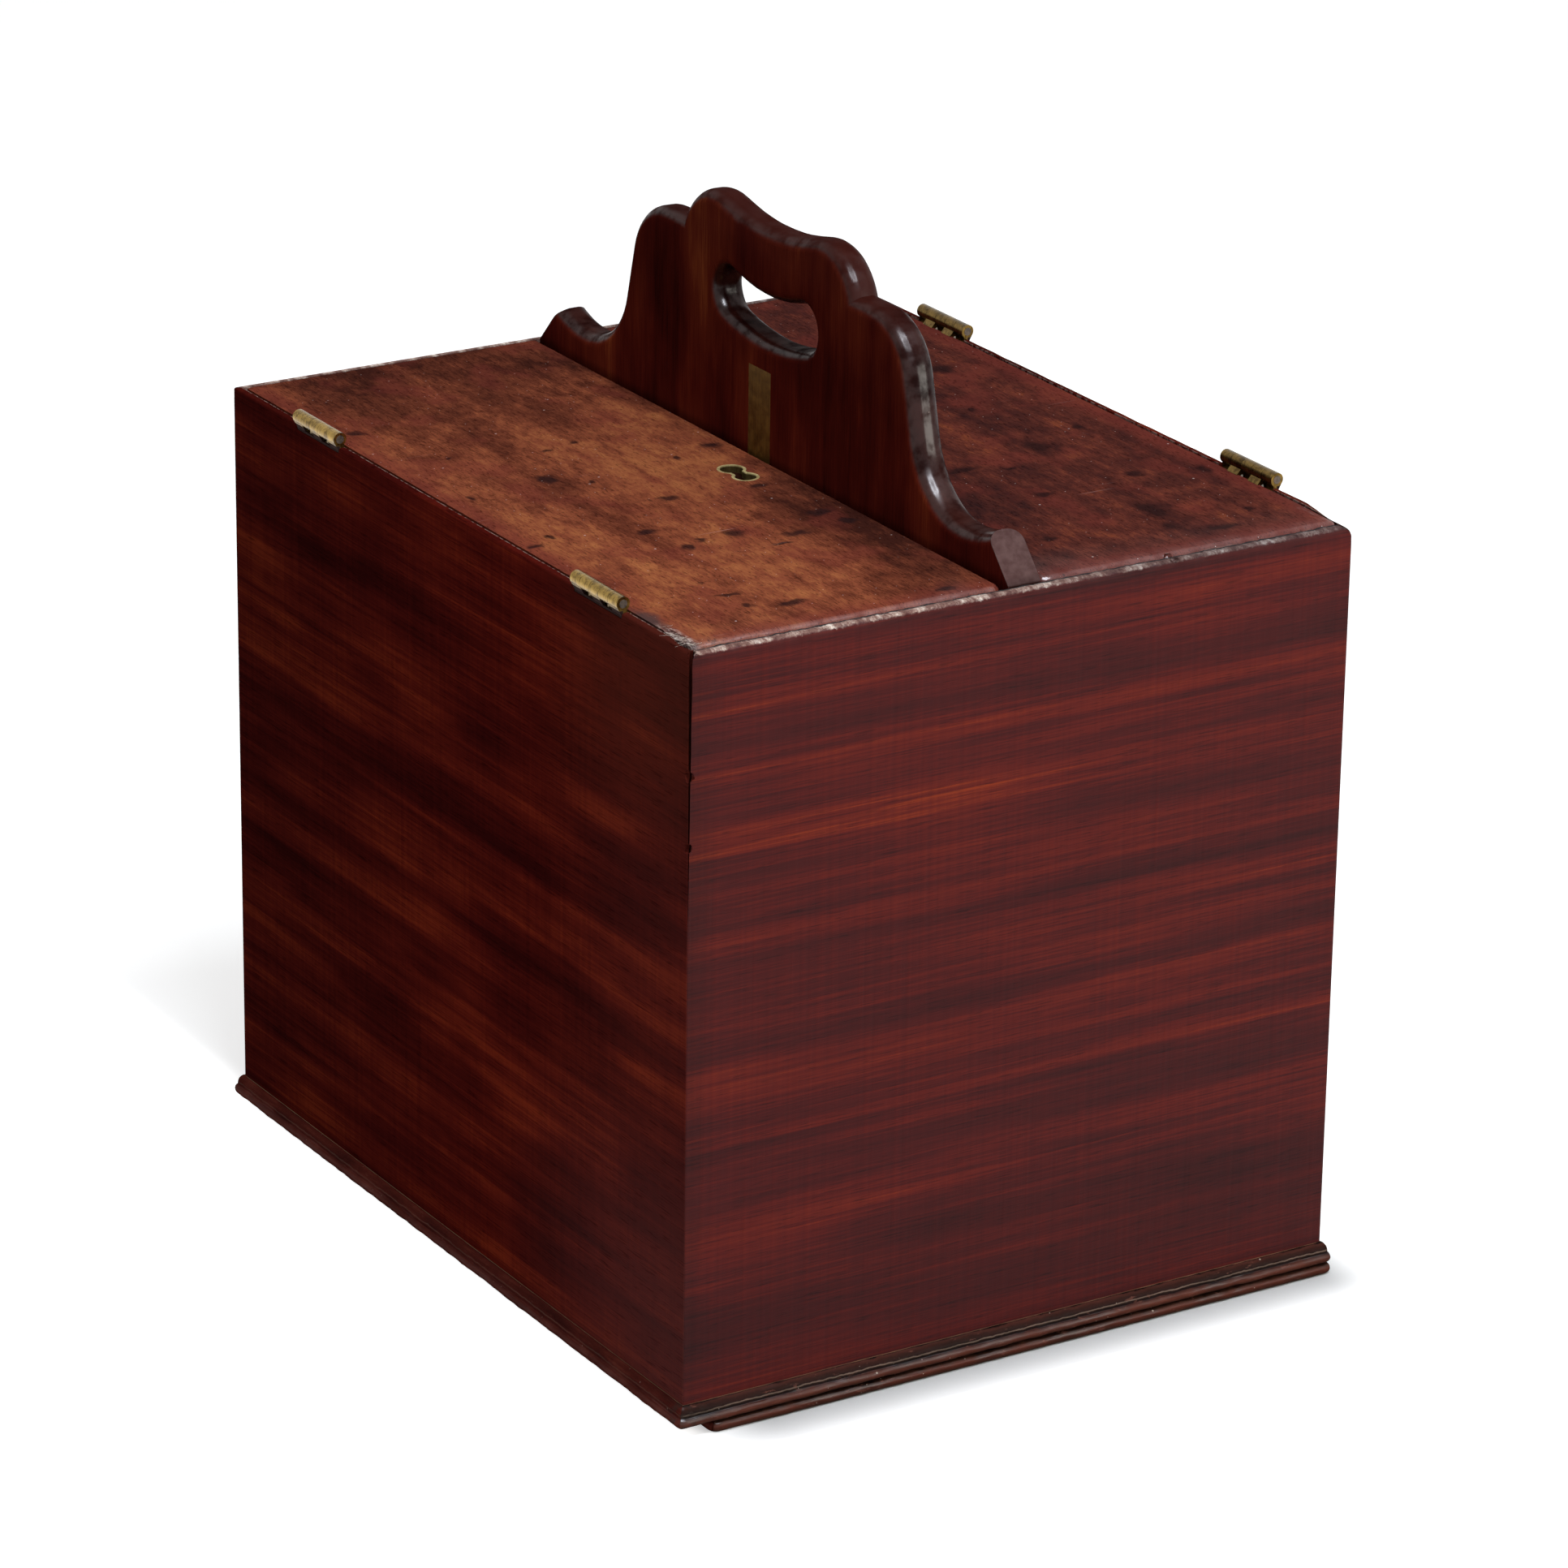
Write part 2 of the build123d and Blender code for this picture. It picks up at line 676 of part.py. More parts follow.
def keep_screws():
    """The screws of the left keep plate, into the handle board."""
    body = Rot(0, -90, 0) * screw(keep_screw_radius, keep_screw_head_radius, keep_screw_length)
    half = keep_width / 2 - keep_screw_edge
    top = lid_top + keep_rise - keep_screw_edge
    bottom = lid_top - keep_drop + keep_screw_edge
    places = [(-half, top), (half, top), (0, bottom)]
    return [Pos(-handle_half_thickness, keep_middle + y, z) * body for y, z in places]


def keep_blank():
    """The left keep plate before its slot and screw holes are cut."""
    return block(
        (-handle_half_thickness, -handle_half_thickness + keep_thickness),
        (keep_middle - keep_width / 2, keep_middle + keep_width / 2),
        (lid_top - keep_drop, lid_top + keep_rise),
    )


def bolt_mortise():
    """The hole that the thrown left bolt enters."""
    return bolt_piece(bolt_clearance, -handle_half_thickness + mortise_depth, -handle_half_thickness)


def keep_plate():
    """The brass strip in the handle board's left face, slotted for the bolt."""
    plate = keep_blank() - bolt_mortise()
    for body in keep_screws():
        plate -= body
    return plate


def save(name, pieces):
    """Write one piece, or a group of like pieces, under its name."""
    shape = pieces if not isinstance(pieces, list) else Compound(children=pieces)
    export_step(shape, f"parts/{name}.step")


def save_pair(name, pieces):
    """Write a left-hand piece and its right-hand twin."""
    save(f"{name}_left", pieces)
    if isinstance(pieces, list):
        save(f"{name}_right", [right_hand(piece) for piece in pieces])
    else:
        save(f"{name}_right", right_hand(pieces))


def save_case():
    """Boards, bottom, partitions and the handle board."""
    places = partition_places()
    partitions = [left_partition(place) for place in places]
    boards = case_boards()
    left = boards["left"]
    for cut in left_hinge_gains() + case_leaf_screws() + partitions:
        left -= cut
    save("front_board", boards["front"])
    save("back_board", boards["back"])
    save_pair("side_board", left)
    x_limits = (-half_width, half_width)
    y_limits = (-half_depth, half_depth)
    save("bottom_board", block(x_limits, y_limits, (plinth_height, case_bottom)))
    left_cuts = partitions + [keep_blank(), bolt_mortise()] + keep_screws()
    board = handle_board()
    for cut in left_cuts:
        board = board - cut - right_hand(cut)
    save("handle_board", board)
    for number, piece in enumerate(partitions, start=1):
        save_pair(f"bottle_partition_{number}", piece)
    plinth_x_limits = (-half_width + plinth_left_inset, half_width)
    for side in ("front", "back", "left", "right"):
        moulding_z = (plinth_height, case_bottom)
        save(f"base_moulding_{side}", frame_strip(side, moulding_section(), x_limits, y_limits, moulding_z))
        plinth = frame_strip(side, plinth_section(), plinth_x_limits, y_limits, (0, plinth_height))
        save(f"plinth_{side}", plinth)


def save_fittings():
    """Lids, hinges, locks, escutcheons and keep plates."""
    lid_leaves = [lid_leaf(place) for place in hinge_places]
    save_pair("lid", left_lid(lid_leaves + lid_leaf_screws() + lock_screws()))
    save_pair("keyhole_escutcheon", escutcheon())
    for end, place in zip(("front", "back"), hinge_places):
        case_side = case_leaf(place)
        lid_side = lid_leaf(place)
        for body in case_leaf_screws():
            case_side -= body
        for body in lid_leaf_screws():
            lid_side -= body
        save_pair(f"hinge_case_leaf_{end}", case_side)
        save_pair(f"hinge_lid_leaf_{end}", lid_side)
        save_pair(f"hinge_pin_{end}", hinge_pin(place))
    save_pair("hinge_case_screws", case_leaf_screws())
    save_pair("hinge_lid_screws", lid_leaf_screws())
    save_pair("lock_case", lock_case())
    save_pair("lock_bolt", lock_bolt())
    save_pair("lock_screws", lock_screws())
    save_pair("keep_plate", keep_plate())
    save_pair("keep_screws", keep_screws())


os.makedirs("parts", exist_ok=True)
save_case()
save_fittings()
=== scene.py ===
"""An old mahogany wine caddy on a white studio floor: its worn wood, its brass and the light."""
import bmesh
import bpy
from math import cos, hypot, radians, sin
from mathutils import Matrix, Vector
from random import Random


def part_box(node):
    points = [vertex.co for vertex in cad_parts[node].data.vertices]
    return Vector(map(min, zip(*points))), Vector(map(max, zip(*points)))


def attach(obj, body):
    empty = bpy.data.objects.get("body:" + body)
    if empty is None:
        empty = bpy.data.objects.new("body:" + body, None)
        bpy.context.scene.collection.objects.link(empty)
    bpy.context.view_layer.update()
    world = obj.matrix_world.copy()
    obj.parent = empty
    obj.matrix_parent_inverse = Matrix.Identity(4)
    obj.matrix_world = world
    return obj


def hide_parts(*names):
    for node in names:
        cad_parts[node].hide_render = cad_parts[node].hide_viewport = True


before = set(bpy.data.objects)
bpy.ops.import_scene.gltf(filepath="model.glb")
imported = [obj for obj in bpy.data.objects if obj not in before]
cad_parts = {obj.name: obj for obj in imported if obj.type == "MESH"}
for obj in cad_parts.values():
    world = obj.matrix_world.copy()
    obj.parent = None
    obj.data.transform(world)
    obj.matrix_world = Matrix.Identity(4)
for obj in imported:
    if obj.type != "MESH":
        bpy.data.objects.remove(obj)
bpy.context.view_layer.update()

# Sizes in metres, most of them read from the CAD parts' bounds
mm = 0.001
front_low, front_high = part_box("front_board")
lid_low, lid_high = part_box("lid_left")
handle_low, handle_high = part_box("handle_board")
case_left = front_low[0]
case_right = front_high[0]
case_front = front_low[1]
case_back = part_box("back_board")[1][1]
case_bottom = front_low[2]
lid_top = lid_high[2]
case_height = lid_top - case_bottom
lid_front = lid_low[1]
lid_back = lid_high[1]
lid_outer = lid_low[0]
lid_thickness = lid_top - lid_low[2]
handle_half = handle_high[0]
board_thickness = 12 * mm

# Wear
worn_reach = 8 * mm  # how far below the lids' top the boards' arrises are cut finely
lid_arris = 2.4 * mm
near_corner_round = 2.6 * mm
far_corner_round = 6.5 * mm
split_depth, split_width, split_length = 9 * mm, 1.7 * mm, 112 * mm


# Camera: the photograph's place and angle
def place_camera():
    turn = radians(-31.76)
    pitch = radians(21.06)
    roll = radians(0.82)
    scale = 305.0 / 308.0
    distance = 2842.5 * mm * scale
    focal_pixels = 8399.0
    frame_pixels = 1932.0
    aim = Vector((0.0, 0.0, case_bottom + 180.0 * mm * scale))
    back = Vector((sin(turn) * cos(pitch), -cos(turn) * cos(pitch), sin(pitch)))
    level_right = Vector((cos(turn), sin(turn), 0.0))
    level_up = back.cross(level_right)
    right = level_right * cos(roll) + level_up * sin(roll)
    up = level_up * cos(roll) - level_right * sin(roll)
    place = aim + back * distance + right * (4.06 * mm * scale) - up * (9.4 * mm * scale)
    bpy.ops.object.camera_add()
    camera = bpy.context.object
    camera.name = "photo_camera"
    camera.matrix_world = Matrix((
        (right.x, up.x, back.x, place.x),
        (right.y, up.y, back.y, place.y),
        (right.z, up.z, back.z, place.z),
        (0.0, 0.0, 0.0, 1.0),
    ))
    camera.data.sensor_width = 36.0
    camera.data.lens = focal_pixels * camera.data.sensor_width / frame_pixels
    camera.data.clip_end = 50.0
    bpy.context.scene.camera = camera


# Shader work: short calls for the nodes that every finish needs
class Nodes:
    """A node tree that is added to."""

    def __init__(self, tree):
        self.tree = tree

    def node(self, kind, **settings):
        made = self.tree.nodes.new("ShaderNode" + kind)
        for key, value in settings.items():
            setattr(made, key, value)
        return made

    def feed(self, socket, value):
        """A socket takes a link, a number or a colour."""
        if isinstance(value, bpy.types.NodeSocket):
            self.tree.links.new(value, socket)
        elif isinstance(value, tuple) and len(value) == 3 and socket.type == "RGBA":
            socket.default_value = (*value, 1)
        else:
            socket.default_value = value

    def fill(self, made, *values):
        """Feed a node's first sockets in turn."""
        for socket, value in zip(made.inputs, values):
            self.feed(socket, value)
        return made

    def math(self, operation, *values):
        return self.fill(self.node("Math", operation=operation), *values).outputs[0]

    def larger(self, first, second):
        return self.math("MAXIMUM", first, second)

    def times(self, value, by, plus=0):
        return self.math("MULTIPLY_ADD", value, by, plus)

    def seen(self):
        """1 for what the camera sees, itself or mirrored or through something, and 0 for light that falls."""
        rays = self.node("LightPath").outputs
        mirrored = self.larger(rays["Is Glossy Ray"], rays["Is Transmission Ray"])
        return self.larger(rays["Is Camera Ray"], mirrored)


class Finish(Nodes):
    """One material, built up from object coordinates; its colour is what has been laid on so far."""

    def __init__(self, name, **sockets):
        self.material = bpy.data.materials.new(name)
        self.material.use_nodes = True
        super().__init__(self.material.node_tree)
        self.shader = self.tree.nodes["Principled BSDF"]
        self.place = self.node("TexCoord").outputs["Object"]
        self.colour = (0, 0, 0)
        for socket, value in sockets.items():
            title = socket.replace("_", " ").title().replace("Ior", "IOR")
            self.shader.inputs[title].default_value = value

    def set(self, title, value):
        self.feed(self.shader.inputs[title], value)

    def done(self, roughness, relief):
        """Give the shader the finish's colour, roughness and relief."""
        for title, value in (("Base Color", self.colour), ("Roughness", roughness), ("Normal", relief)):
            self.set(title, value)
        return self

    def product(self, first, second):
        return self.math("MULTIPLY", first, second)

    def total(self, *parts):
        """A sum of values, each a link or a (link, weight) pair taken about its middle of one half."""
        result = 0
        for part in parts:
            value, weight = part if isinstance(part, tuple) else (part, None)
            if weight is not None:
                value = self.times(value, weight, -0.5 * weight)
            result = self.math("ADD", value, result)
        return result

    def stretch(self, scale, shift=(0, 0, 0), turn=(0, 0, 0), of=None):
        """Coordinates scaled to repeats per metre along each axis, or alike along all."""
        made = self.node("Mapping")
        self.feed(made.inputs["Vector"], of or self.place)
        made.inputs["Location"].default_value = shift
        made.inputs["Rotation"].default_value = turn
        made.inputs["Scale"].default_value = scale if isinstance(scale, (tuple, list)) else (scale,) * 3
        return made.outputs[0]

    def noise(self, scale, detail=3, rough=0.5, output="Fac", **where):
        made = self.node("TexNoise")
        for title, value in (("Vector", self.stretch(scale, **where)), ("Scale", 1), ("Detail", detail),
                             ("Roughness", rough)):
            self.feed(made.inputs[title], value)
        return made.outputs[output]

    def specks(self, spacing, size, share):
        """Small round specks, one here and there on a net of the given spacing."""
        made = self.node("TexVoronoi")
        self.feed(made.inputs["Vector"], self.stretch(1 / spacing))
        made.inputs["Scale"].default_value = 1
        near = self.fade(made.outputs["Distance"], size / spacing, 0.4 * size / spacing)
        lot = self.fill(self.node("SeparateColor"), made.outputs["Color"])
        return self.product(near, self.math("LESS_THAN", lot.outputs[0], share))

    def warped(self, scale, reach):
        """Coordinates pushed about by noise, for ragged outlines."""
        push = self.noise(scale, detail=4, output="Color")
        shift = self.node("VectorMath", operation="MULTIPLY_ADD")
        self.fill(shift, push, (reach,) * 3, (-reach / 2,) * 3)
        moved = self.node("VectorMath", operation="ADD")
        return self.fill(moved, self.place, shift.outputs[0]).outputs[0]

    def blots(self, spots, of):
        """How far inside the nearest of several oval spots a point is, 1 at its middle."""
        nearest = None
        for x, y, half_x, half_y in spots:
            scale = (1 / (half_x * mm), 1 / (half_y * mm), 0)
            shift = (-x / half_x, -y / half_y, 0)
            length = self.node("VectorMath", operation="LENGTH")
            away = self.fill(length, self.stretch(scale, shift, of=of)).outputs["Value"]
            nearest = away if nearest is None else self.math("MINIMUM", nearest, away)
        return self.fade(nearest, 1.25, 0.35)

    def mirrored(self, of):
        """Coordinates with the left half folded over onto the right."""
        made = self.fill(self.node("VectorMath", operation="ABSOLUTE"), of)
        apart = self.fill(self.node("SeparateXYZ"), of)
        side = self.fill(self.node("SeparateXYZ"), made.outputs[0])
        joined = self.node("CombineXYZ")
        return self.fill(joined, side.outputs["X"], apart.outputs["Y"], apart.outputs["Z"]).outputs[0]

    def fade(self, value, start, end, low=0, high=1):
        """A value mapped smoothly from start and end to low and high."""
        if start > end:
            start, end, low, high = end, start, high, low
        made = self.node("MapRange", interpolation_type="SMOOTHSTEP")
        return self.fill(made, value, start, end, low, high).outputs[0]

    def ramp(self, value, stops):
        """A colour or grey for each value, from (position, colour) stops."""
        made = self.fill(self.node("ValToRGB"), value)
        points = made.color_ramp.elements
        while len(points) < len(stops):
            points.new(0.5)
        for point, (position, colour) in zip(points, stops):
            point.position = position
            point.color = (*colour, 1) if isinstance(colour, tuple) else (colour, colour, colour, 1)
        return made.outputs["Color"]

    def mix(self, amount, first, second, blend="MIX"):
        made = self.node("Mix", data_type="RGBA", blend_type=blend)
        for number, value in ((0, amount), (6, first), (7, second)):
            self.feed(made.inputs[number], value)
        return made.outputs[2]

    def cover(self, amount, colour, share=1):
        """Lay a colour on, as strongly as amount times share says."""
        self.colour = self.mix(self.times(amount, share), self.colour, colour)

    def shade(self, amount, tint, share=1):
        """Multiply the colour by a tint, as strongly as amount times share says."""
        self.colour = self.mix(self.times(amount, share), self.colour, tint, "MULTIPLY")

    def axes(self):
        return self.fill(self.node("SeparateXYZ"), self.place).outputs

    def facing_up(self):
        """How far a face looks upwards: 1 for level, 0 for upright."""
        return self.fill(self.node("SeparateXYZ"), self.node("TexCoord").outputs["Normal"]).outputs["Z"]

    def bump(self, height, depth, before=None):
        """A surface relief of the given depth in metres."""
        made = self.node("Bump")
        made.inputs["Strength"].default_value = 1
        made.inputs["Distance"].default_value = depth
        self.feed(made.inputs["Height"], height)
        if before is not None:
            self.feed(made.inputs["Normal"], before)
        return made.outputs[0]


# Wood: the boards' figure, as heights above the case's bottom edge in millimetres and tones in hundredths
front_figure_left = [
    (0, 40), (18, 34), (27, 20), (36, 42), (45, 24), (57, 26), (69, 58), (80, 36),
    (93, 24), (105, 28), (111, 60), (118, 30), (129, 58), (137, 36), (144, 22), (160, 38),
    (183, 24), (192, 38), (201, 26), (213, 56), (219, 28), (226, 52), (233, 80), (238, 70),
    (244, 38), (250, 26), (258, 56), (273, 4), (281, 34), (287, 62), (298, 40), (312, 34),
]
front_figure_right = [
    (0, 40), (27, 34), (45, 20), (52, 20), (63, 50), (72, 36), (81, 48), (88, 22),
    (99, 20), (111, 50), (120, 34), (129, 48), (141, 50), (147, 14), (154, 50), (164, 30),
    (174, 48), (183, 5), (195, 48), (201, 50), (210, 34), (219, 16), (226, 52), (231, 54),
    (240, 16), (249, 46), (261, 44), (268, 8), (273, 4), (285, 46), (299, 50), (312, 26),
]
side_figure_lines = (81, 105, 129, 153, 177, 201, 225, 270, 295)


def above_bottom(wood, wander):
    """A point's height on the case as a share of the case's height, with the grain's wander."""
    height = wood.total(wood.axes()["Z"], (wander, 11 * mm))
    return wood.times(height, 1 / case_height, -case_bottom / case_height)


def figure_stops(figure):
    return [(place * mm / case_height, tone / 100) for place, tone in figure]


def line_stops(lines, dark, bright, half_width):
    """Thin bright lines at the given heights on a dark ground."""
    figure = [(0, dark)]
    for place in lines:
        figure += [(place - half_width, dark), (place, bright), (place + half_width, dark)]
    return figure_stops(figure)


def open_pores(wood, tint):
    pores = wood.fade(wood.noise((90, 90, 1900), detail=2, shift=(7, 0, 1)), 0.58, 0.68)
    wood.shade(pores, tint, 0.7)


def behind_face(wood, place, face):
    """Where a point lies a board's thickness behind the board's outer face."""
    inner = face - board_thickness
    return wood.fade(place, inner + 0.8 * mm, inner + 0.4 * mm)


def bare_inside(wood, inside, along):
    """Where a board faces the inside it was never polished; its grain runs along one axis."""
    grain = wood.noise([14 if axis == along else 180 for axis in "XYZ"], detail=5, rough=0.6)
    fibre = wood.noise([60 if axis == along else 1500 for axis in "XYZ"], detail=2)
    stain = wood.noise(22, detail=4, shift=(5, 2, 9))
    level = wood.total(0.5, (grain, 0.9), (fibre, 0.3), (stain, 0.6))
    wood.cover(inside, wood.ramp(level, [
        (0.1, (0.075, 0.032, 0.016)), (0.5, (0.17, 0.082, 0.04)), (0.9, (0.27, 0.145, 0.072)),
    ]))


def front_mahogany():
    """Banded red polish for the front and the back."""
    wood = Finish("front_mahogany", specular_ior_level=0.09)
    x, y, z = wood.axes()
    deep = wood.math("ABSOLUTE", y)
    level = above_bottom(wood, wood.noise((6, 6, 9), detail=2))
    right_hand = wood.fade(wood.total(x, (wood.noise((4, 4, 30)), 0.16)), -60 * mm, 60 * mm)
    left_bands = wood.ramp(level, figure_stops(front_figure_left))
    right_bands = wood.ramp(level, figure_stops(front_figure_right))
    bands = wood.mix(right_hand, left_bands, right_bands)
    streak = wood.noise((3, 3, 260), detail=6, rough=0.72)
    thread = wood.noise((14, 14, 1300), detail=4, rough=0.7, shift=(3, 0, 7))
    patch = wood.noise((9, 9, 60), shift=(1, 5, 2))
    ripple = wood.noise((420, 420, 8), detail=2, shift=(0, 4, 0))
    lively = wood.product(wood.times(bands, 1, -0.3), wood.times(streak, 3.2, -1.6))
    tone = wood.total(wood.times(bands, 0.68, 0.135), (streak, 1.05), (thread, 0.85), (patch, 0.55),
                      (ripple, 0.22), lively)
    wood.colour = wood.ramp(tone, [
        (0.06, (0.027, 0.0028, 0.003)), (0.34, (0.053, 0.0046, 0.0042)), (0.5, (0.078, 0.0062, 0.0045)),
        (0.72, (0.11, 0.0098, 0.0048)), (1, (0.205, 0.025, 0.0058)),
    ])
    open_pores(wood, (0.45, 0.45, 0.5))
    # Painted shade: the front is darkened towards its near upright corner.
    near_corner = wood.fade(wood.total(x, (patch, 20 * mm)), case_left + 16 * mm, case_left)
    wood.shade(near_corner, (0.62, 0.68, 0.62), 0.6)
    foot = wood.fade(wood.total(z, (patch, 40 * mm)), case_bottom + 75 * mm, case_bottom + 30 * mm)
    wood.shade(foot, (0.8, 0.72, 0.7), 0.9)
    ragged = wood.noise(420, detail=4, rough=0.65)
    worn_top = wood.fade(wood.total(z, (ragged, 2.4 * mm)), lid_top - 2.2 * mm, lid_top - 1.2 * mm)
    pale = wood.ramp(wood.noise((150, 60, 150), detail=5, rough=0.75), [
        (0.34, (0.06, 0.016, 0.012)), (0.48, (0.19, 0.1, 0.08)), (0.57, (0.42, 0.31, 0.26)),
        (0.66, (0.78, 0.7, 0.62)),
    ])
    darker_right = wood.times(wood.fade(x, -70 * mm, 110 * mm), 0.85)
    pale = wood.mix(darker_right, pale, (0.3, 0.29, 0.33), "MULTIPLY")
    wood.cover(worn_top, pale)
    # Painted shade: in a narrow band where the lip meets the lid, the lip's top is painted almost black for
    # the shadow in the gap between them.
    seam = wood.fade(wood.total(deep, (ragged, 1.2 * mm)), case_back - 3.1 * mm, case_back - 3.9 * mm)
    painted_gap_shade = wood.product(seam, wood.fade(z, lid_top - 9 * mm, lid_top - 6 * mm))
    wood.cover(painted_gap_shade, (0.006, 0.004, 0.004))
    inside = behind_face(wood, deep, case_back)
    bare_inside(wood, inside, "X")
    roughness = wood.larger(wood.times(worn_top, 0.4, 0.42), wood.times(inside, 0.75))
    return wood.done(roughness, wood.bump(thread, 0.05 * mm, wood.bump(ripple, 0.1 * mm)))


def side_mahogany():
    """Dark red polish with thin bright lines for the left and right sides."""
    wood = Finish("side_mahogany", specular_ior_level=0)
    x, y, z = wood.axes()
    level = above_bottom(wood, wood.noise((5, 5, 6), detail=2, shift=(0, 3, 1)))
    lines = wood.ramp(level, line_stops(side_figure_lines, 30, 80, 5.5))
    streak = wood.noise((2.5, 2.5, 240), detail=6, rough=0.72, shift=(0, 8, 0))
    broad = wood.noise((3, 3, 58), rough=0.6, shift=(0, 1, 3))
    thread = wood.noise((14, 14, 1300), detail=4, rough=0.7)
    patch = wood.noise((14, 14, 30), detail=4, shift=(2, 0, 4))
    ripple = wood.noise((420, 420, 9), detail=2)
    here = wood.fade(wood.noise((7, 7, 20), detail=2, shift=(5, 5, 5)), 0.38, 0.62)
    lines = wood.product(wood.times(lines, 0.55), here)
    tone = wood.total(0.34, lines, (streak, 0.75), (broad, 1.3), (thread, 0.8), (patch, 0.7), (ripple, 0.25))
    wood.colour = wood.ramp(tone, [
        (0.05, (0.026, 0.0026, 0.0024)), (0.32, (0.05, 0.0045, 0.0034)), (0.55, (0.08, 0.0075, 0.0046)),
        (0.88, (0.16, 0.019, 0.007)),
    ])
    to_back = wood.fade(y, -60 * mm, 180 * mm)
    wood.shade(to_back, (0.62, 0.74, 0.8), 0.8)
    # Painted reflection: a pale haze of the floor's reflection is laid low on the sides' front end, and a
    # fainter one over their front 60 mm.
    painted_floor_reflection = wood.product(wood.fade(y, -20 * mm, case_front), wood.fade(z, 150 * mm, 40 * mm))
    wood.cover(painted_floor_reflection, (0.09, 0.036, 0.034), 0.3)
    painted_reflection_haze = wood.fade(y, -60 * mm, case_front)
    wood.cover(painted_reflection_haze, (0.09, 0.03, 0.026), 0.16)
    brown_top = wood.product(wood.fade(y, -60 * mm, -150 * mm), wood.fade(z, 220 * mm, 300 * mm))
    wood.cover(brown_top, (0.075, 0.016, 0.008), 0.35)
    open_pores(wood, (0.42, 0.42, 0.45))
    ragged = wood.noise(380, detail=4, rough=0.65)
    wide = wood.math("ABSOLUTE", x)
    crack_edge = wood.fade(wide, case_right - 2.2 * mm, case_right - 2.6 * mm)
    rubbed = wood.product(wood.fade(z, lid_top - 1.2 * mm, lid_top - 0.6 * mm), crack_edge)
    rubbed = wood.product(rubbed, wood.fade(ragged, 0.42, 0.58))
    wood.cover(rubbed, (0.3, 0.2, 0.17), 0.7)
    inside = behind_face(wood, wide, case_right)
    bare_inside(wood, inside, "Y")
    roughness = wood.larger(0.42, wood.times(inside, 0.75))
    return wood.done(roughness, wood.bump(thread, 0.05 * mm, wood.bump(ripple, 0.12 * mm)))


# Old ink and water marks on the lids: x, y and half sizes, in millimetres
left_lid_marks = [
    (-98, 17, 4.5, 6.5), (-137.5, 106, 4, 4), (-84, 5, 2.2, 2.6), (-79.5, 49, 2.6, 2), (-65.5, 53, 2.8, 2.4),
    (-18.5, 23, 4.5, 4), (-39, 15, 2, 3), (-67.5, -76, 4.6, 5), (-45, -88, 7, 4), (-24, -71, 5.5, 4),
    (-19.5, -85, 4, 4), (-91, -82, 2.6, 4), (-83, -77, 2.2, 3), (-96, -58, 5, 2.4), (-67.5, -27, 5, 3.6),
    (-143, -52, 3.5, 2.4), (-132, -45, 2.2, 3.4), (-136, 10, 2, 3.6), (-106, -151, 3, 3.4), (-90, -157, 8, 3),
    (-106, -137, 6, 2), (-31, -172, 5.5, 3), (-56, -96, 6, 1.8), (-28, -31, 5, 3.4), (-120, 60, 1.6, 1.4),
]
right_lid_marks = [
    (54, -54, 9, 3), (66, -96, 5, 3), (72, -62, 3, 2), (92, -132, 5, 13), (106, -164, 9, 4),
    (88, -152, 4, 6), (37, -142, 4, 3), (112, -92, 4, 4), (97, -44, 6, 9), (126, -30, 3, 4),
    (60, 18, 7, 5), (118, 64, 8, 7), (84, 96, 6, 10), (40, 60, 5, 4), (134, 128, 5, 8),
    (30, -20, 3, 6), (140, -100, 3, 6), (56, 140, 9, 6), (128, -150, 3, 3), (100, 10, 3, 3),
]


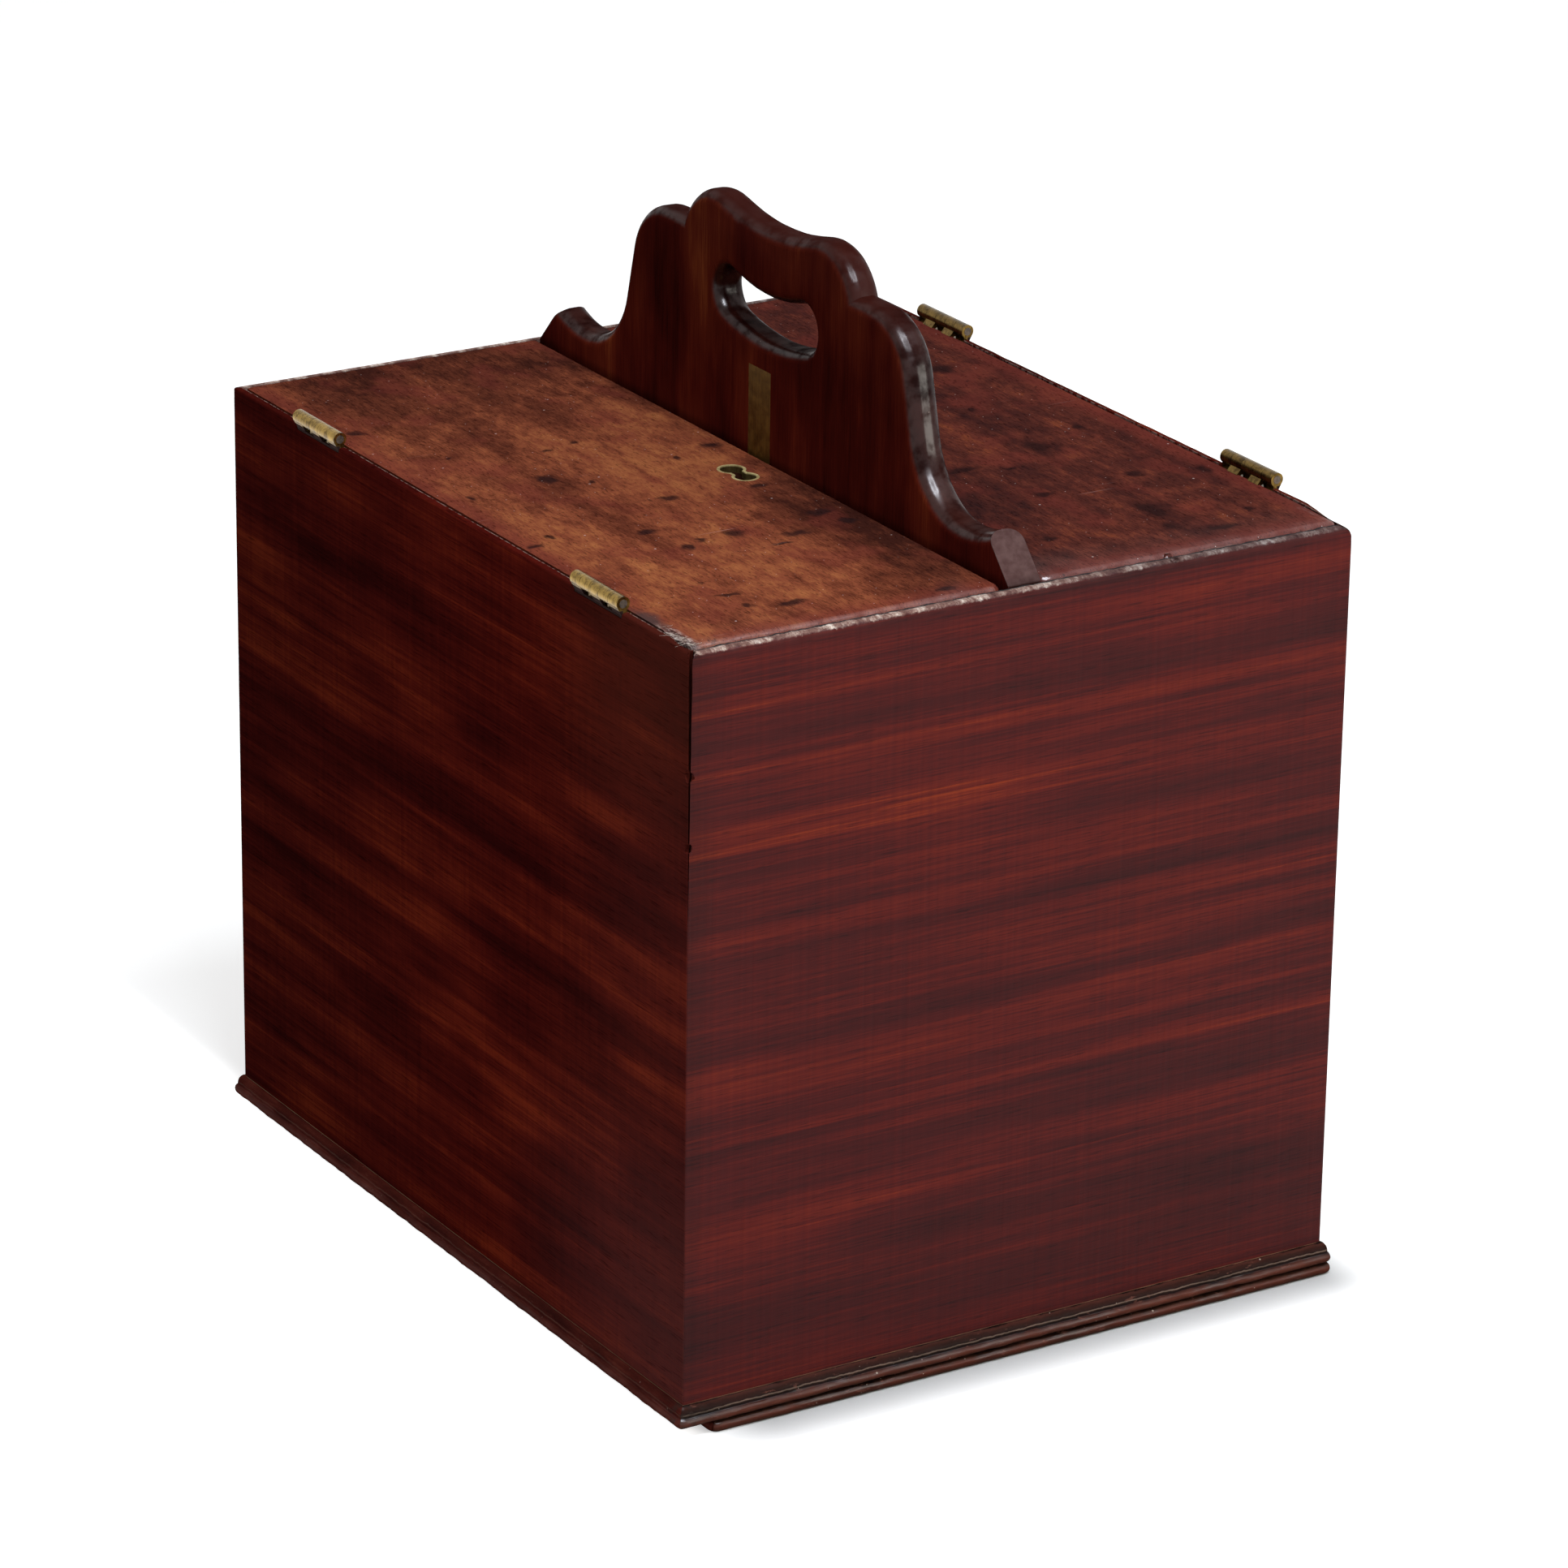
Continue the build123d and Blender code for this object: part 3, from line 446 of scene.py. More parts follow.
def lid_mahogany(name, marks, tones, dark_side, battered):
    """Sun-bleached lid tops, with stains, specks, scratches and rubbed edges."""
    wood = Finish(name, specular_ior_level=0, coat_roughness=0.25, coat_ior=1.5)
    x, y, z = wood.axes()
    wide = wood.math("ABSOLUTE", x)
    ribbon = wood.noise((34, 3.2, 34), detail=4, rough=0.6)
    streak = wood.noise((260, 26, 260), detail=5, rough=0.7)
    fibre = wood.noise((1500, 210, 1500), detail=4, rough=0.7)
    cloud = wood.noise((13, 9, 13), detail=5, rough=0.62, shift=(4, 1, 0))
    mottle = wood.noise((120, 70, 120), detail=5, rough=0.7, shift=(1, 6, 0))
    tone = wood.total(0.54, (ribbon, 0.7), (streak, 0.6), (fibre, 0.75), (cloud, 1.35), (mottle, 0.95))
    to_back = wood.fade(wood.total(y, (cloud, 0.12)), 40 * mm, 150 * mm)
    to_handle = wood.fade(wood.total(wide, (cloud, 0.04)), 54 * mm, handle_half + 4 * mm)
    shaded = wood.larger(wood.times(to_back, 0.95), wood.times(to_handle, 0.85))
    tone = wood.math("SUBTRACT", tone, wood.times(shaded, dark_side))
    wood.colour = wood.ramp(tone, tones)
    to_edge = wood.larger(wood.fade(y, lid_front + 16 * mm, lid_front + 3 * mm),
                          wood.fade(wide, -lid_outer - 13 * mm, -lid_outer - 3 * mm))
    red_patch = wood.fade(wood.noise((40, 30, 40), detail=4, shift=(9, 2, 0)), 0.5, 0.66)
    redder = wood.larger(to_edge, wood.times(red_patch, 0.7))
    wood.cover(redder, (0.155, 0.03, 0.0215), 0.55)
    ragged = wood.warped(90, 9 * mm)
    stain = wood.blots(marks, wood.warped(190, 7 * mm))
    small = wood.noise((170, 110, 170), of=ragged)
    flecks = wood.fade(small, 0.7, 0.76)
    dark = wood.larger(wood.times(stain, 0.86), wood.times(flecks, 0.6))
    wood.cover(dark, (0.02, 0.0085, 0.0085))
    scratches = wood.noise((15, 1300, 15), detail=2, turn=(0, 0, radians(38)))
    crossing = wood.noise((11, 1100, 11), detail=2, turn=(0, 0, radians(-17)), shift=(4, 0, 2))
    sparse = wood.fade(wood.noise(26, detail=2, shift=(2, 2, 8)), 0.5, 0.62)
    scratched = wood.larger(wood.fade(scratches, 0.73, 0.78), wood.fade(crossing, 0.74, 0.79))
    scratched = wood.product(scratched, sparse)
    dust = wood.larger(wood.specks(3 * mm, 0.3 * mm, 0.34), wood.specks(8 * mm, 0.6 * mm, 0.24))
    pale = wood.larger(wood.times(scratched, 0.3), wood.times(dust, 0.62))
    wood.cover(pale, (0.62, 0.5, 0.47))
    pores = wood.fade(wood.noise((1500, 330, 1500), detail=2), 0.57, 0.66)
    wood.shade(pores, (0.36, 0.34, 0.38), 0.65)
    by_hinge = wood.blots([(-lid_outer / mm, -146, 6, 13)], wood.mirrored(ragged))
    wood.cover(by_hinge, (0.05, 0.034, 0.034), 0.85 * battered)
    by_corner = wood.product(wood.fade(wide, -lid_outer - 5.5 * mm, -lid_outer - 1.5 * mm),
                             wood.fade(y, -150 * mm, -163 * mm))
    frayed = wood.ramp(wood.noise((420, 160, 420), detail=5, rough=0.75, turn=(0, 0, 0.5)), [
        (0.38, (0.03, 0.02, 0.019)), (0.5, (0.15, 0.085, 0.075)), (0.62, (0.55, 0.48, 0.44)),
    ])
    wood.cover(by_corner, frayed, battered)
    edge = wood.fade(z, lid_top - 1.8 * mm, lid_top - 2.8 * mm)
    wood.cover(edge, (0.03, 0.012, 0.009), 0.85)
    inside = wood.fade(z, lid_top - lid_thickness + 0.5 * mm, lid_top - lid_thickness + 0.2 * mm)
    bare_inside(wood, inside, "Y")
    sheen = wood.product(wood.fade(y, lid_front + 34 * mm, lid_front + 5 * mm, 0, 0.16),
                         wood.fade(wide, 60 * mm, 10 * mm, 0.35, 1))
    polished = wood.product(wood.fade(y, lid_front + 11 * mm, lid_front + 1.5 * mm),
                            wood.fade(wood.facing_up(), 0.999, 0.93, 0.22, 1))
    wood.set("Coat Weight", wood.product(wood.larger(sheen, polished), wood.fade(mottle, 0.3, 0.62, 0.4, 1)))
    relief = wood.bump(fibre, 0.08 * mm, wood.bump(wood.total(streak, dust, scratched), 0.12 * mm))
    return wood.done(wood.total(wood.times(inside, 0.25, 0.5), (mottle, 0.2)), relief)


def handle_mahogany():
    """Almost black polish on the faces, a rubbed and glossier nosing and bare ends."""
    wood = Finish("handle_mahogany", specular_ior_level=0, coat_roughness=0.22, coat_ior=1.5)
    x, y, z = wood.axes()
    wide = wood.math("ABSOLUTE", x)
    streak = wood.noise((200, 200, 7), detail=4, rough=0.65)
    fibre = wood.noise((1500, 1500, 70))
    cloud = wood.noise((28, 28, 12), shift=(0, 2, 6))
    tone = wood.total(0.52, (streak, 0.6), (fibre, 0.45), (cloud, 1.7))
    wood.colour = wood.ramp(tone, [
        (0.12, (0.022, 0.0026, 0.0021)), (0.45, (0.06, 0.0064, 0.004)), (0.75, (0.104, 0.014, 0.0064)),
        (0.98, (0.19, 0.04, 0.012)),
    ])
    nosing = wood.fade(wide, handle_half - 0.15 * mm, handle_half - 1.2 * mm)
    brown = wood.ramp(wood.noise(70, detail=5, rough=0.6), [
        (0.35, (0.012, 0.0022, 0.0018)), (0.65, (0.036, 0.0078, 0.0052)),
    ])
    wood.cover(nosing, brown)
    rubbed = wood.product(wood.fade(wood.total(z, (cloud, 0.03)), lid_top + 72 * mm, lid_top + 88 * mm),
                          wood.fade(wide, handle_half + 0.1 * mm, handle_half - 2 * mm, 0.25, 1))
    wood.cover(rubbed, (0.062, 0.0125, 0.009), 0.6)
    middle = (handle_low[1] + handle_high[1]) / 2
    from_middle = wood.math("ABSOLUTE", wood.times(y, 1, -middle))
    ear_run, ear_rise = 16 * mm, 17.3 * mm
    slope = hypot(ear_run, ear_rise)
    end = handle_high[1] - middle
    off_cut = wood.total(wood.times(from_middle, ear_rise / slope, -end * ear_rise / slope),
                         wood.times(z, ear_run / slope, -lid_top * ear_run / slope))
    end_grain = wood.product(wood.fade(off_cut, -0.5 * mm, -0.15 * mm),
                             wood.fade(from_middle, end - ear_run - 1 * mm, end - ear_run))
    matt = wood.ramp(wood.noise(300, detail=4), [
        (0.35, (0.07, 0.036, 0.034)), (0.65, (0.1, 0.057, 0.054)),
    ])
    wood.cover(end_grain, matt)
    high = wood.fade(z, lid_top + 15 * mm, lid_top + 60 * mm)
    wood.shade(high, (0.66, 0.7, 0.72), 0.8)
    # Painted shade: the handle is darkened in grey where it meets the lids.
    low = wood.fade(z, lid_top + 3 * mm, lid_top - 0.5 * mm)
    wood.shade(low, (0.4, 0.4, 0.4), 0.6)
    specks = wood.specks(7 * mm, 0.35 * mm, 0.22)
    wood.cover(specks, (0.3, 0.18, 0.16), 0.35)
    inside = wood.fade(z, lid_top - 9.6 * mm, lid_top - 10.2 * mm)
    bare_inside(wood, inside, "Z")
    dull = wood.larger(end_grain, inside)
    scuffed = wood.noise(140, detail=4, rough=0.6)
    level_dim = wood.fade(wood.facing_up(), 0.97, 0.78, 0.15, 1)
    gloss = wood.product(wood.product(nosing, level_dim), wood.fade(scuffed, 0.34, 0.62, 0.09, 0.5))
    gloss = wood.product(gloss, wood.times(wood.larger(dull, wood.times(rubbed, 0.55)), -1, 1))
    wood.set("Coat Weight", gloss)
    dents = wood.noise(60, shift=(3, 0, 0))
    relief = wood.bump(fibre, 0.03 * mm, wood.bump(dents, 0.22 * mm))
    return wood.done(wood.times(dull, 0.25, 0.45), relief)


def base_mahogany(name, along, dirt_and_painted_shading):
    """Mouldings: rubbed brown rounds painted lighter at their middles, with grime and painted shade in the
    grooves between them, or smooth deep red where that weight is low.
    """
    wood = Finish(name, specular_ior_level=0, coat_roughness=0.3, coat_ior=1.5)
    x, y, z = wood.axes()
    scale = (26, 400, 400) if along == "X" else (400, 26, 400)
    streak = wood.noise(scale, detail=4, rough=0.65)
    patch = wood.noise((38, 38, 70), detail=5, rough=0.65)
    ragged = wood.noise(260, detail=4, shift=(1, 1, 0))
    height = wood.total(z, (ragged, 1.1 * mm), (patch, 1 * mm))
    share = wood.times(height, 1 / case_bottom)
    red = wood.ramp(wood.total(0.5, (streak, 1.2), (patch, 1.2)), [
        (0.2, (0.034, 0.0052, 0.0042)), (0.5, (0.068, 0.0105, 0.0072)), (0.85, (0.125, 0.027, 0.017)),
    ])
    # Painted light and shade, with grime: up the profile the rounds are painted lighter at their middles and
    # the grooves nearly black, with a thin pale line at 10.6 mm.
    rounds = wood.ramp(share, [(place * mm / case_bottom, colour) for place, colour in (
        (0, (0.024, 0.019, 0.012)), (1.3, (0.062, 0.02, 0.013)), (3, (0.095, 0.024, 0.015)),
        (4.1, (0.05, 0.02, 0.013)), (4.8, (0.006, 0.004, 0.004)), (5.6, (0.06, 0.021, 0.014)),
        (7.2, (0.11, 0.032, 0.021)), (8.6, (0.07, 0.022, 0.015)), (9.4, (0.01, 0.006, 0.006)),
        (10.2, (0.028, 0.016, 0.013)), (10.6, (0.2, 0.13, 0.1)), (11, (0.022, 0.01, 0.009)),
        (12.4, (0.036, 0.013, 0.01)), (13.2, (0.07, 0.022, 0.016)), (13.7, (0.006, 0.004, 0.004)),
    )])
    rounds = wood.mix(wood.times(patch, 3, -1), rounds, (0.5, 0.56, 0.54), "MULTIPLY")
    wood.colour = wood.mix(dirt_and_painted_shading, red, rounds)
    rubbed = wood.fade(wood.noise((150, 150, 500), detail=5, rough=0.7), 0.6, 0.68)
    wood.cover(rubbed, (0.17, 0.062, 0.044), 0.45 * dirt_and_painted_shading)
    chalk = wood.larger(wood.specks(6 * mm, 0.55 * mm, 0.3), wood.specks(2.6 * mm, 0.3 * mm, 0.2))
    wood.cover(chalk, (0.5, 0.4, 0.33), 0.6 * dirt_and_painted_shading)
    near_corner = wood.product(wood.fade(x, case_left + 12 * mm, case_left - 2 * mm),
                               wood.fade(y, case_front + 12 * mm, case_front - 2 * mm))
    bruised = wood.product(near_corner, wood.fade(ragged, 0.44, 0.56))
    wood.cover(bruised, (0.026, 0.017, 0.014), 0.75)
    facing = wood.facing_up()
    rounded = wood.product(wood.fade(facing, 0.92, 0.7), wood.fade(facing, 0.02, 0.3, 0.15, 1))
    rounded = wood.product(rounded, wood.fade(z, 10.2 * mm, 9 * mm, 0.08, 1))
    wood.set("Coat Weight", wood.product(rounded, wood.fade(patch, 0.35, 0.6, 0.15 * dirt_and_painted_shading, 0.5 * dirt_and_painted_shading)))
    relief = wood.bump(streak, 0.12 * mm, wood.bump(ragged, 0.45 * mm))
    return wood.done(wood.total(0.48, (patch, 0.3)), relief)


def bare_wood(name, along):
    """Unpolished boards inside and underneath."""
    wood = Finish(name, specular_ior_level=0.15)
    bare_inside(wood, 1, along)
    rows = wood.noise([50 if axis == along else 900 for axis in "XYZ"])
    return wood.done(0.75, wood.bump(rows, 0.15 * mm))


# Metal
def brass(name, dull, bright, roughness, tail_shade_below=None, walls_below=None, metallic=1):
    """Old brass, dulled in patches and scratched along its length; painted shade darkens it on the right
    half, and below a given height at the case's outer faces it is painted dark and made non-metallic as the
    shadowed crack beside the side wood.
    """
    metal = Finish(name, metallic=metallic, specular_ior_level=0.05)
    x, _, z = metal.axes()
    patina = metal.noise(210, detail=5, rough=0.68)
    scratch = metal.noise((1500, 1500, 90))
    spots = metal.specks(3.2 * mm, 0.5 * mm, 0.3)
    tone = metal.total(patina, (scratch, 0.55))
    metal.colour = metal.ramp(tone, [(0.3, dull), (0.66, bright)])
    metal.shade(spots, (0.35, 0.3, 0.25), 0.6)
    # Painted shade: brass on the right half of the case is darkened and cooled.
    metal.shade(metal.fade(x, 0, case_right), (0.4, 0.38, 0.44), 0.8)
    rough = metal.total(roughness, (patina, 0.25))
    if walls_below is not None:
        metal.shade(metal.fade(z, walls_below + 0.3 * mm, walls_below), (0.16, 0.13, 0.1))
    # Painted shade: below this height, at the case's outer faces, the hinge tails are painted dark red-brown
    # and made non-metallic to read as the shadowed crack.
    if tail_shade_below is not None:
        wide = metal.math("ABSOLUTE", x)
        painted_tail_shade = metal.product(metal.fade(z, tail_shade_below + 0.5 * mm, tail_shade_below),
                               metal.fade(wide, case_right - 1 * mm, case_right - 0.4 * mm))
        metal.cover(painted_tail_shade, (0.016, 0.006, 0.005))
        metal.set("Metallic", metal.times(painted_tail_shade, -1, 1))
        rough = metal.larger(rough, metal.times(painted_tail_shade, 0.8))
    return metal.done(rough, metal.bump(patina, 0.06 * mm))


def dark_steel():
    metal = Finish("dark_steel", metallic=0.85)
    rust = metal.noise(420, detail=5, rough=0.65)
    metal.colour = metal.ramp(rust, [
        (0.38, (0.045, 0.036, 0.03)), (0.55, (0.1, 0.075, 0.058)), (0.7, (0.16, 0.085, 0.05)),
    ])
    return metal.done(metal.total(0.5, (rust, 0.4)), metal.bump(rust, 0.08 * mm))


def dress(piece, finish):
    piece.data.materials.clear()
    piece.data.materials.append(finish.material)


# Modelling helpers
def pick(*pieces):
    bpy.ops.object.select_all(action="DESELECT")
    for piece in pieces:
        piece.select_set(True)
    bpy.context.view_layer.objects.active = pieces[0]


def edit_all():
    bpy.ops.object.mode_set(mode="EDIT")
    bpy.ops.mesh.select_all(action="SELECT")


def copy_of(node, name):
    """A merged copy of a CAD node's mesh, ready to be worn."""
    piece = bpy.data.objects.new(name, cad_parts[node].data.copy())
    piece.data.name = name
    bpy.context.scene.collection.objects.link(piece)
    pick(piece)
    bpy.ops.mesh.customdata_custom_splitnormals_clear()
    edit_all()
    bpy.ops.mesh.remove_doubles(threshold=0.005 * mm)
    bpy.ops.mesh.dissolve_limited(angle_limit=radians(0.5))
    bpy.ops.object.mode_set(mode="OBJECT")
    return piece


def steps(start, end, pitch):
    count = max(1, round((end - start) / pitch))
    return [start + (end - start) * number / count for number in range(count + 1)]


def everywhere(_):
    return True


def cut_across(piece, axis, places, inside=everywhere):
    """Cut a piece straight across at each place along an axis, only in faces whose middle is inside."""
    number = "XYZ".index(axis)
    normal = Vector((number == 0, number == 1, number == 2))
    mesh = bmesh.new()
    mesh.from_mesh(piece.data)
    faces = [face for face in mesh.faces if inside(face.calc_center_median())]
    for place in sorted(places):
        crossed = []
        for face in faces:
            reach = [vertex.co[number] for vertex in face.verts]
            if min(reach) < place - 0.02 * mm and max(reach) > place + 0.02 * mm:
                crossed.append(face)
        edges = {edge for face in crossed for edge in face.edges}
        corners = {vertex for face in crossed for vertex in face.verts}
        cut = bmesh.ops.bisect_plane(mesh, geom=[*crossed, *edges, *corners], plane_co=normal * place,
                                     plane_no=normal, dist=0.001 * mm)
        ahead = {face for face in faces if face.is_valid}
        ahead |= {face for face in cut["geom"] if isinstance(face, bmesh.types.BMFace)}
        beyond = place + 0.02 * mm
        faces = [face for face in ahead if max(vertex.co[number] for vertex in face.verts) > beyond]
    mesh.to_mesh(piece.data)
    mesh.free()


def wear(piece, depth, feature, amount, still_level=1):
    """Eat a surface away, up to a depth, in lumps of the feature's size, as far as amount says."""
    group = piece.vertex_groups.new(name="worn")
    for vertex in piece.data.vertices:
        group.add([vertex.index], max(0, min(1, amount(vertex.co))), "REPLACE")
    lumps = bpy.data.textures.new(piece.name + "_wear", "CLOUDS")
    lumps.noise_scale = feature
    lumps.noise_depth = 3
    worn = piece.modifiers.new("worn", "DISPLACE")
    worn.texture = lumps
    worn.texture_coords = "LOCAL"
    worn.vertex_group = group.name
    worn.strength = depth
    worn.mid_level = still_level
    pick(piece)
    bpy.ops.object.modifier_apply(modifier=worn.name)
    piece.vertex_groups.clear()


def wedge(value, start, end):
    """A straight run from 0 at start to 1 at end."""
    return max(0, min(1, (value - start) / (end - start)))


def round_off(piece, side, radius, reach):
    """Round the top front corner of the case on one side, fading out towards the back."""
    for vertex in piece.data.vertices:
        place = vertex.co
        across = case_right - side * place.x
        down = lid_top - place.z
        behind = place.y - case_front
        if across < radius and down < radius and behind < reach:
            away = Vector((radius - across, radius - down))
            if away.length > radius:
                fade = 1 - wedge(behind, reach / 3, reach)
                away *= 1 + fade * (radius / away.length - 1)
                place.x = side * (case_right - radius + away.x)
                place.z = lid_top - radius + away.y


def soften_front(piece, radius):
    """Round a lid's front arris."""
    for vertex in piece.data.vertices:
        place = vertex.co
        inward = place.y - lid_front
        down = lid_top - place.z
        if inward < radius and down < radius:
            away = Vector((radius - inward, radius - down))
            if away.length > radius:
                away *= radius / away.length
                place.y = lid_front + radius - away.x
                place.z = lid_top - radius + away.y


def lump(place, size, feature):
    """A ragged lump to cut a chip with."""
    bpy.ops.mesh.primitive_ico_sphere_add(subdivisions=4, radius=1)
    cutter = bpy.context.object
    edit_all()
    bpy.ops.transform.resize(value=size)
    bpy.ops.transform.translate(value=place)
    bpy.ops.object.mode_set(mode="OBJECT")
    wear(cutter, 0.8 * min(size), feature, everywhere, 0.5)
    return cutter


def split_cutter(depth, width, length):
    """A thin wedge along the near upright corner, wide at the top and closed at the bottom."""
    bpy.ops.mesh.primitive_cube_add(size=1)
    cutter = bpy.context.object
    edit_all()
    bpy.ops.transform.resize(value=(width, depth, length))
    bpy.ops.mesh.select_mode(type="FACE")
    bpy.ops.mesh.select_all(action="DESELECT")
    mesh = bmesh.from_edit_mesh(cutter.data)
    for face in mesh.faces:
        if face.normal.z < -0.9:
            face.select_set(True)
    bmesh.update_edit_mesh(cutter.data)
    bpy.ops.transform.resize(value=(0.06, 1, 1))
    bpy.ops.mesh.select_all(action="SELECT")
    bpy.ops.mesh.subdivide(number_cuts=12)
    bpy.ops.transform.rotate(value=radians(45), orient_axis="Z", center_override=(0, 0, 0))
    bpy.ops.transform.translate(value=(case_left, case_front, lid_top + 2 * mm - length / 2))
    bpy.ops.object.mode_set(mode="OBJECT")
    wear(cutter, 0.5 * mm, 9 * mm, lambda place: wedge(place.z, lid_top - length, lid_top), 0.6)
    return cutter


def cut_out(cutter, *pieces):
    for piece in pieces:
        change = piece.modifiers.new("chip", "BOOLEAN")
        change.operation = "DIFFERENCE"
        change.solver = "MANIFOLD"
        change.object = cutter
        pick(piece)
        bpy.ops.object.modifier_apply(modifier=change.name)
    bpy.data.objects.remove(cutter)


def settle(piece, body, finish, node, angle=35):
    """Smooth a finished piece, dress it and put it in the place of its CAD node."""
    pick(piece)
    bpy.ops.object.shade_smooth_by_angle(angle=radians(angle))
    dress(piece, finish)
    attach(piece, body)
    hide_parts(node)


# Worn boards
def near_top(place):
    return place.z > lid_top - worn_reach


def worn_front_board():
    piece = copy_of("front_board", "worn_front_board")
    for down in (1, 2, 3.2, 5, 8):
        cut_across(piece, "Z", [lid_top - down * mm])
    cut_across(piece, "Y", [case_front + behind * mm for behind in (1, 2.4, 3.6)], near_top)
    cut_across(piece, "X", steps(case_left + 1.5 * mm, case_right - 1.5 * mm, 1.6 * mm), near_top)
    return piece


def worn_side_board(side, name):
    piece = copy_of("side_board_" + name, "worn_side_board_" + name)
    for down in (0.7, 1.6, 3, 5, 8):
        cut_across(piece, "Z", [lid_top - down * mm])
    outer = side * case_right
    cut_across(piece, "X", [outer - side * 0.7 * mm, outer - side * 1.6 * mm], near_top)
    cut_across(piece, "Y", steps(case_front + 1.5 * mm, case_back - 1.5 * mm, 2.2 * mm), near_top)
    return piece


def worn_lid(side, name):
    piece = copy_of("lid_" + name, "worn_lid_" + name)
    outer = -side * lid_outer
    inner = side * (handle_half + 1 * mm)
    cut_across(piece, "Y", [lid_front + reach * mm for reach in (0.3, 0.8, 1.5, 2.4, 3.4, 6)])
    cut_across(piece, "X", [outer - side * 3.5 * mm, inner + side * 3 * mm])

    def front_edge(place):
        return place.y < lid_front + 6 * mm

    def long_edges(place):
        return abs(place.x - outer) < 3.5 * mm or abs(place.x - inner) < 3 * mm

    low, high = sorted((outer, inner))
    cut_across(piece, "Z", [lid_top - down * mm for down in (0.3, 0.8, 1.5, 2.4, 3.4)])
    cut_across(piece, "X", steps(low, high, 2 * mm), front_edge)
    cut_across(piece, "Y", steps(lid_front, lid_back, 2.5 * mm), long_edges)
    return piece


def edge_wear(place):
    """How worn a board is: most at the arris, nothing a few millimetres below it."""
    return wedge(place.z, lid_top - 4 * mm, lid_top - 1 * mm)


def outer_wear(place):
    """Wear of a side board: only near its outer arris."""
    return edge_wear(place) * wedge(abs(place.x), case_right - 3.2 * mm, case_right - 0.8 * mm)


def lid_wear(place):
    """Wear of a lid: only along its edges and its top arrises."""
    at_front = wedge(place.y, lid_front + 3.4 * mm, lid_front + 0.6 * mm)
    wide = abs(place.x)
    at_side = max(wedge(wide, -lid_outer - 2.5 * mm, -lid_outer - 0.2 * mm),
                  wedge(wide, handle_half + 3 * mm, handle_half + 1.2 * mm))
    return max(at_front, 0.6 * at_side) * wedge(place.z, lid_top - 4 * mm, lid_top - 1.5 * mm)


def nosing_wear(place):
    """The handle's rounded edge is slightly uneven, and its flat faces are true."""
    above = wedge(place.z, lid_top + 1 * mm, lid_top + 8 * mm)
    return above * wedge(abs(place.x), handle_half - 0.1 * mm, handle_half - 2.5 * mm)


def build_case_wood(front_finish, side_finish, handle_finish):
    front = worn_front_board()
    left = worn_side_board(-1, "left")
    right = worn_side_board(1, "right")
    cut_out(split_cutter(split_depth, split_width, split_length), front, left)
    chips = [
        ((case_left + 1 * mm, case_front, lid_top - 0.5 * mm), (2.2 * mm, 2 * mm, 2.4 * mm)),
        ((case_left, case_front + 1 * mm, lid_top - 50 * mm), (2.6 * mm, 1.6 * mm, 2.4 * mm)),
        ((case_left, case_front + 1 * mm, lid_top - 79 * mm), (2.4 * mm, 1.5 * mm, 2 * mm)),
    ]
    for place, size in chips:
        cut_out(lump(place, size, 1.2 * mm), front, left)
    cut_out(lump((case_left + 3 * mm, case_front + 9 * mm, lid_top + 0.5 * mm),
                 (1.8 * mm, 7 * mm, 1.8 * mm), 2 * mm), left)
    cut_out(lump((68 * mm, case_front + 1.2 * mm, lid_top), (1.6 * mm, 2 * mm, 1.6 * mm), 1 * mm), front)
    for piece in (front, right):
        round_off(piece, 1, far_corner_round, 30 * mm)
    for piece in (front, left):
        round_off(piece, -1, near_corner_round, 14 * mm)
    wear(front, 1.1 * mm, 3.5 * mm, edge_wear)
    wear(left, 0.45 * mm, 9 * mm, outer_wear)
    wear(right, 0.35 * mm, 12 * mm, outer_wear)
    settle(front, "case", front_finish, "front_board")
    settle(left, "case", side_finish, "side_board_left")
    settle(right, "case", side_finish, "side_board_right")
    handle = copy_of("handle_board", "hand_shaped_handle")
    wear(handle, 0.5 * mm, 16 * mm, nosing_wear)
    settle(handle, "case", handle_finish, "handle_board", 28)


def build_lids(left_finish, right_finish):
    left = worn_lid(-1, "left")
    right = worn_lid(1, "right")
    cut_out(lump((68 * mm, lid_front - 0.6 * mm, lid_top - 1.2 * mm),
                 (2.2 * mm, 2.6 * mm, 1.9 * mm), 1.2 * mm), right)
    cut_out(lump((lid_outer + 1 * mm, lid_front + 14 * mm, lid_top + 0.6 * mm),
                 (1.8 * mm, 12 * mm, 1.5 * mm), 2.4 * mm), left)
    for piece in (left, right):
        soften_front(piece, lid_arris)
    round_off(right, 1, far_corner_round, 30 * mm)
    for piece, finish, name in ((left, left_finish, "lid_left"), (right, right_finish, "lid_right")):
        wear(piece, 0.55 * mm, 5 * mm, lid_wear)
        settle(piece, name, finish, name, 40)


def round_corners(piece, reach, radius):
    """Round a ring's outer corners in plan; reach gives the ring's left, right, front and back."""
    left, right, front, back = reach
    for vertex in piece.data.vertices:
        place = vertex.co
        centre_x = left + radius if place.x < 0 else right - radius
        centre_y = front + radius if place.y < 0 else back - radius
        over = Vector((place.x - centre_x, place.y - centre_y))
        beyond_x = over.x * (-1 if place.x < 0 else 1)
        beyond_y = over.y * (-1 if place.y < 0 else 1)
        if beyond_x > 0 and beyond_y > 0:
            over *= max(beyond_x, beyond_y) / over.length
            place.x = centre_x + over.x
            place.y = centre_y + over.y


def moulding_wear(place):
    """Dents on the outside of the base, none at its bottom or beside its mitre joints."""
    outside = max(wedge(abs(place.x), case_right - 1 * mm, case_right + 1 * mm),
                  wedge(abs(place.y), case_back - 1 * mm, case_back + 1 * mm))
    from_mitre = abs((abs(place.x) - case_right) - (abs(place.y) - case_back))
    return outside * wedge(place.z, 0, 1 * mm) * wedge(from_mitre, 0.3 * mm, 4 * mm)


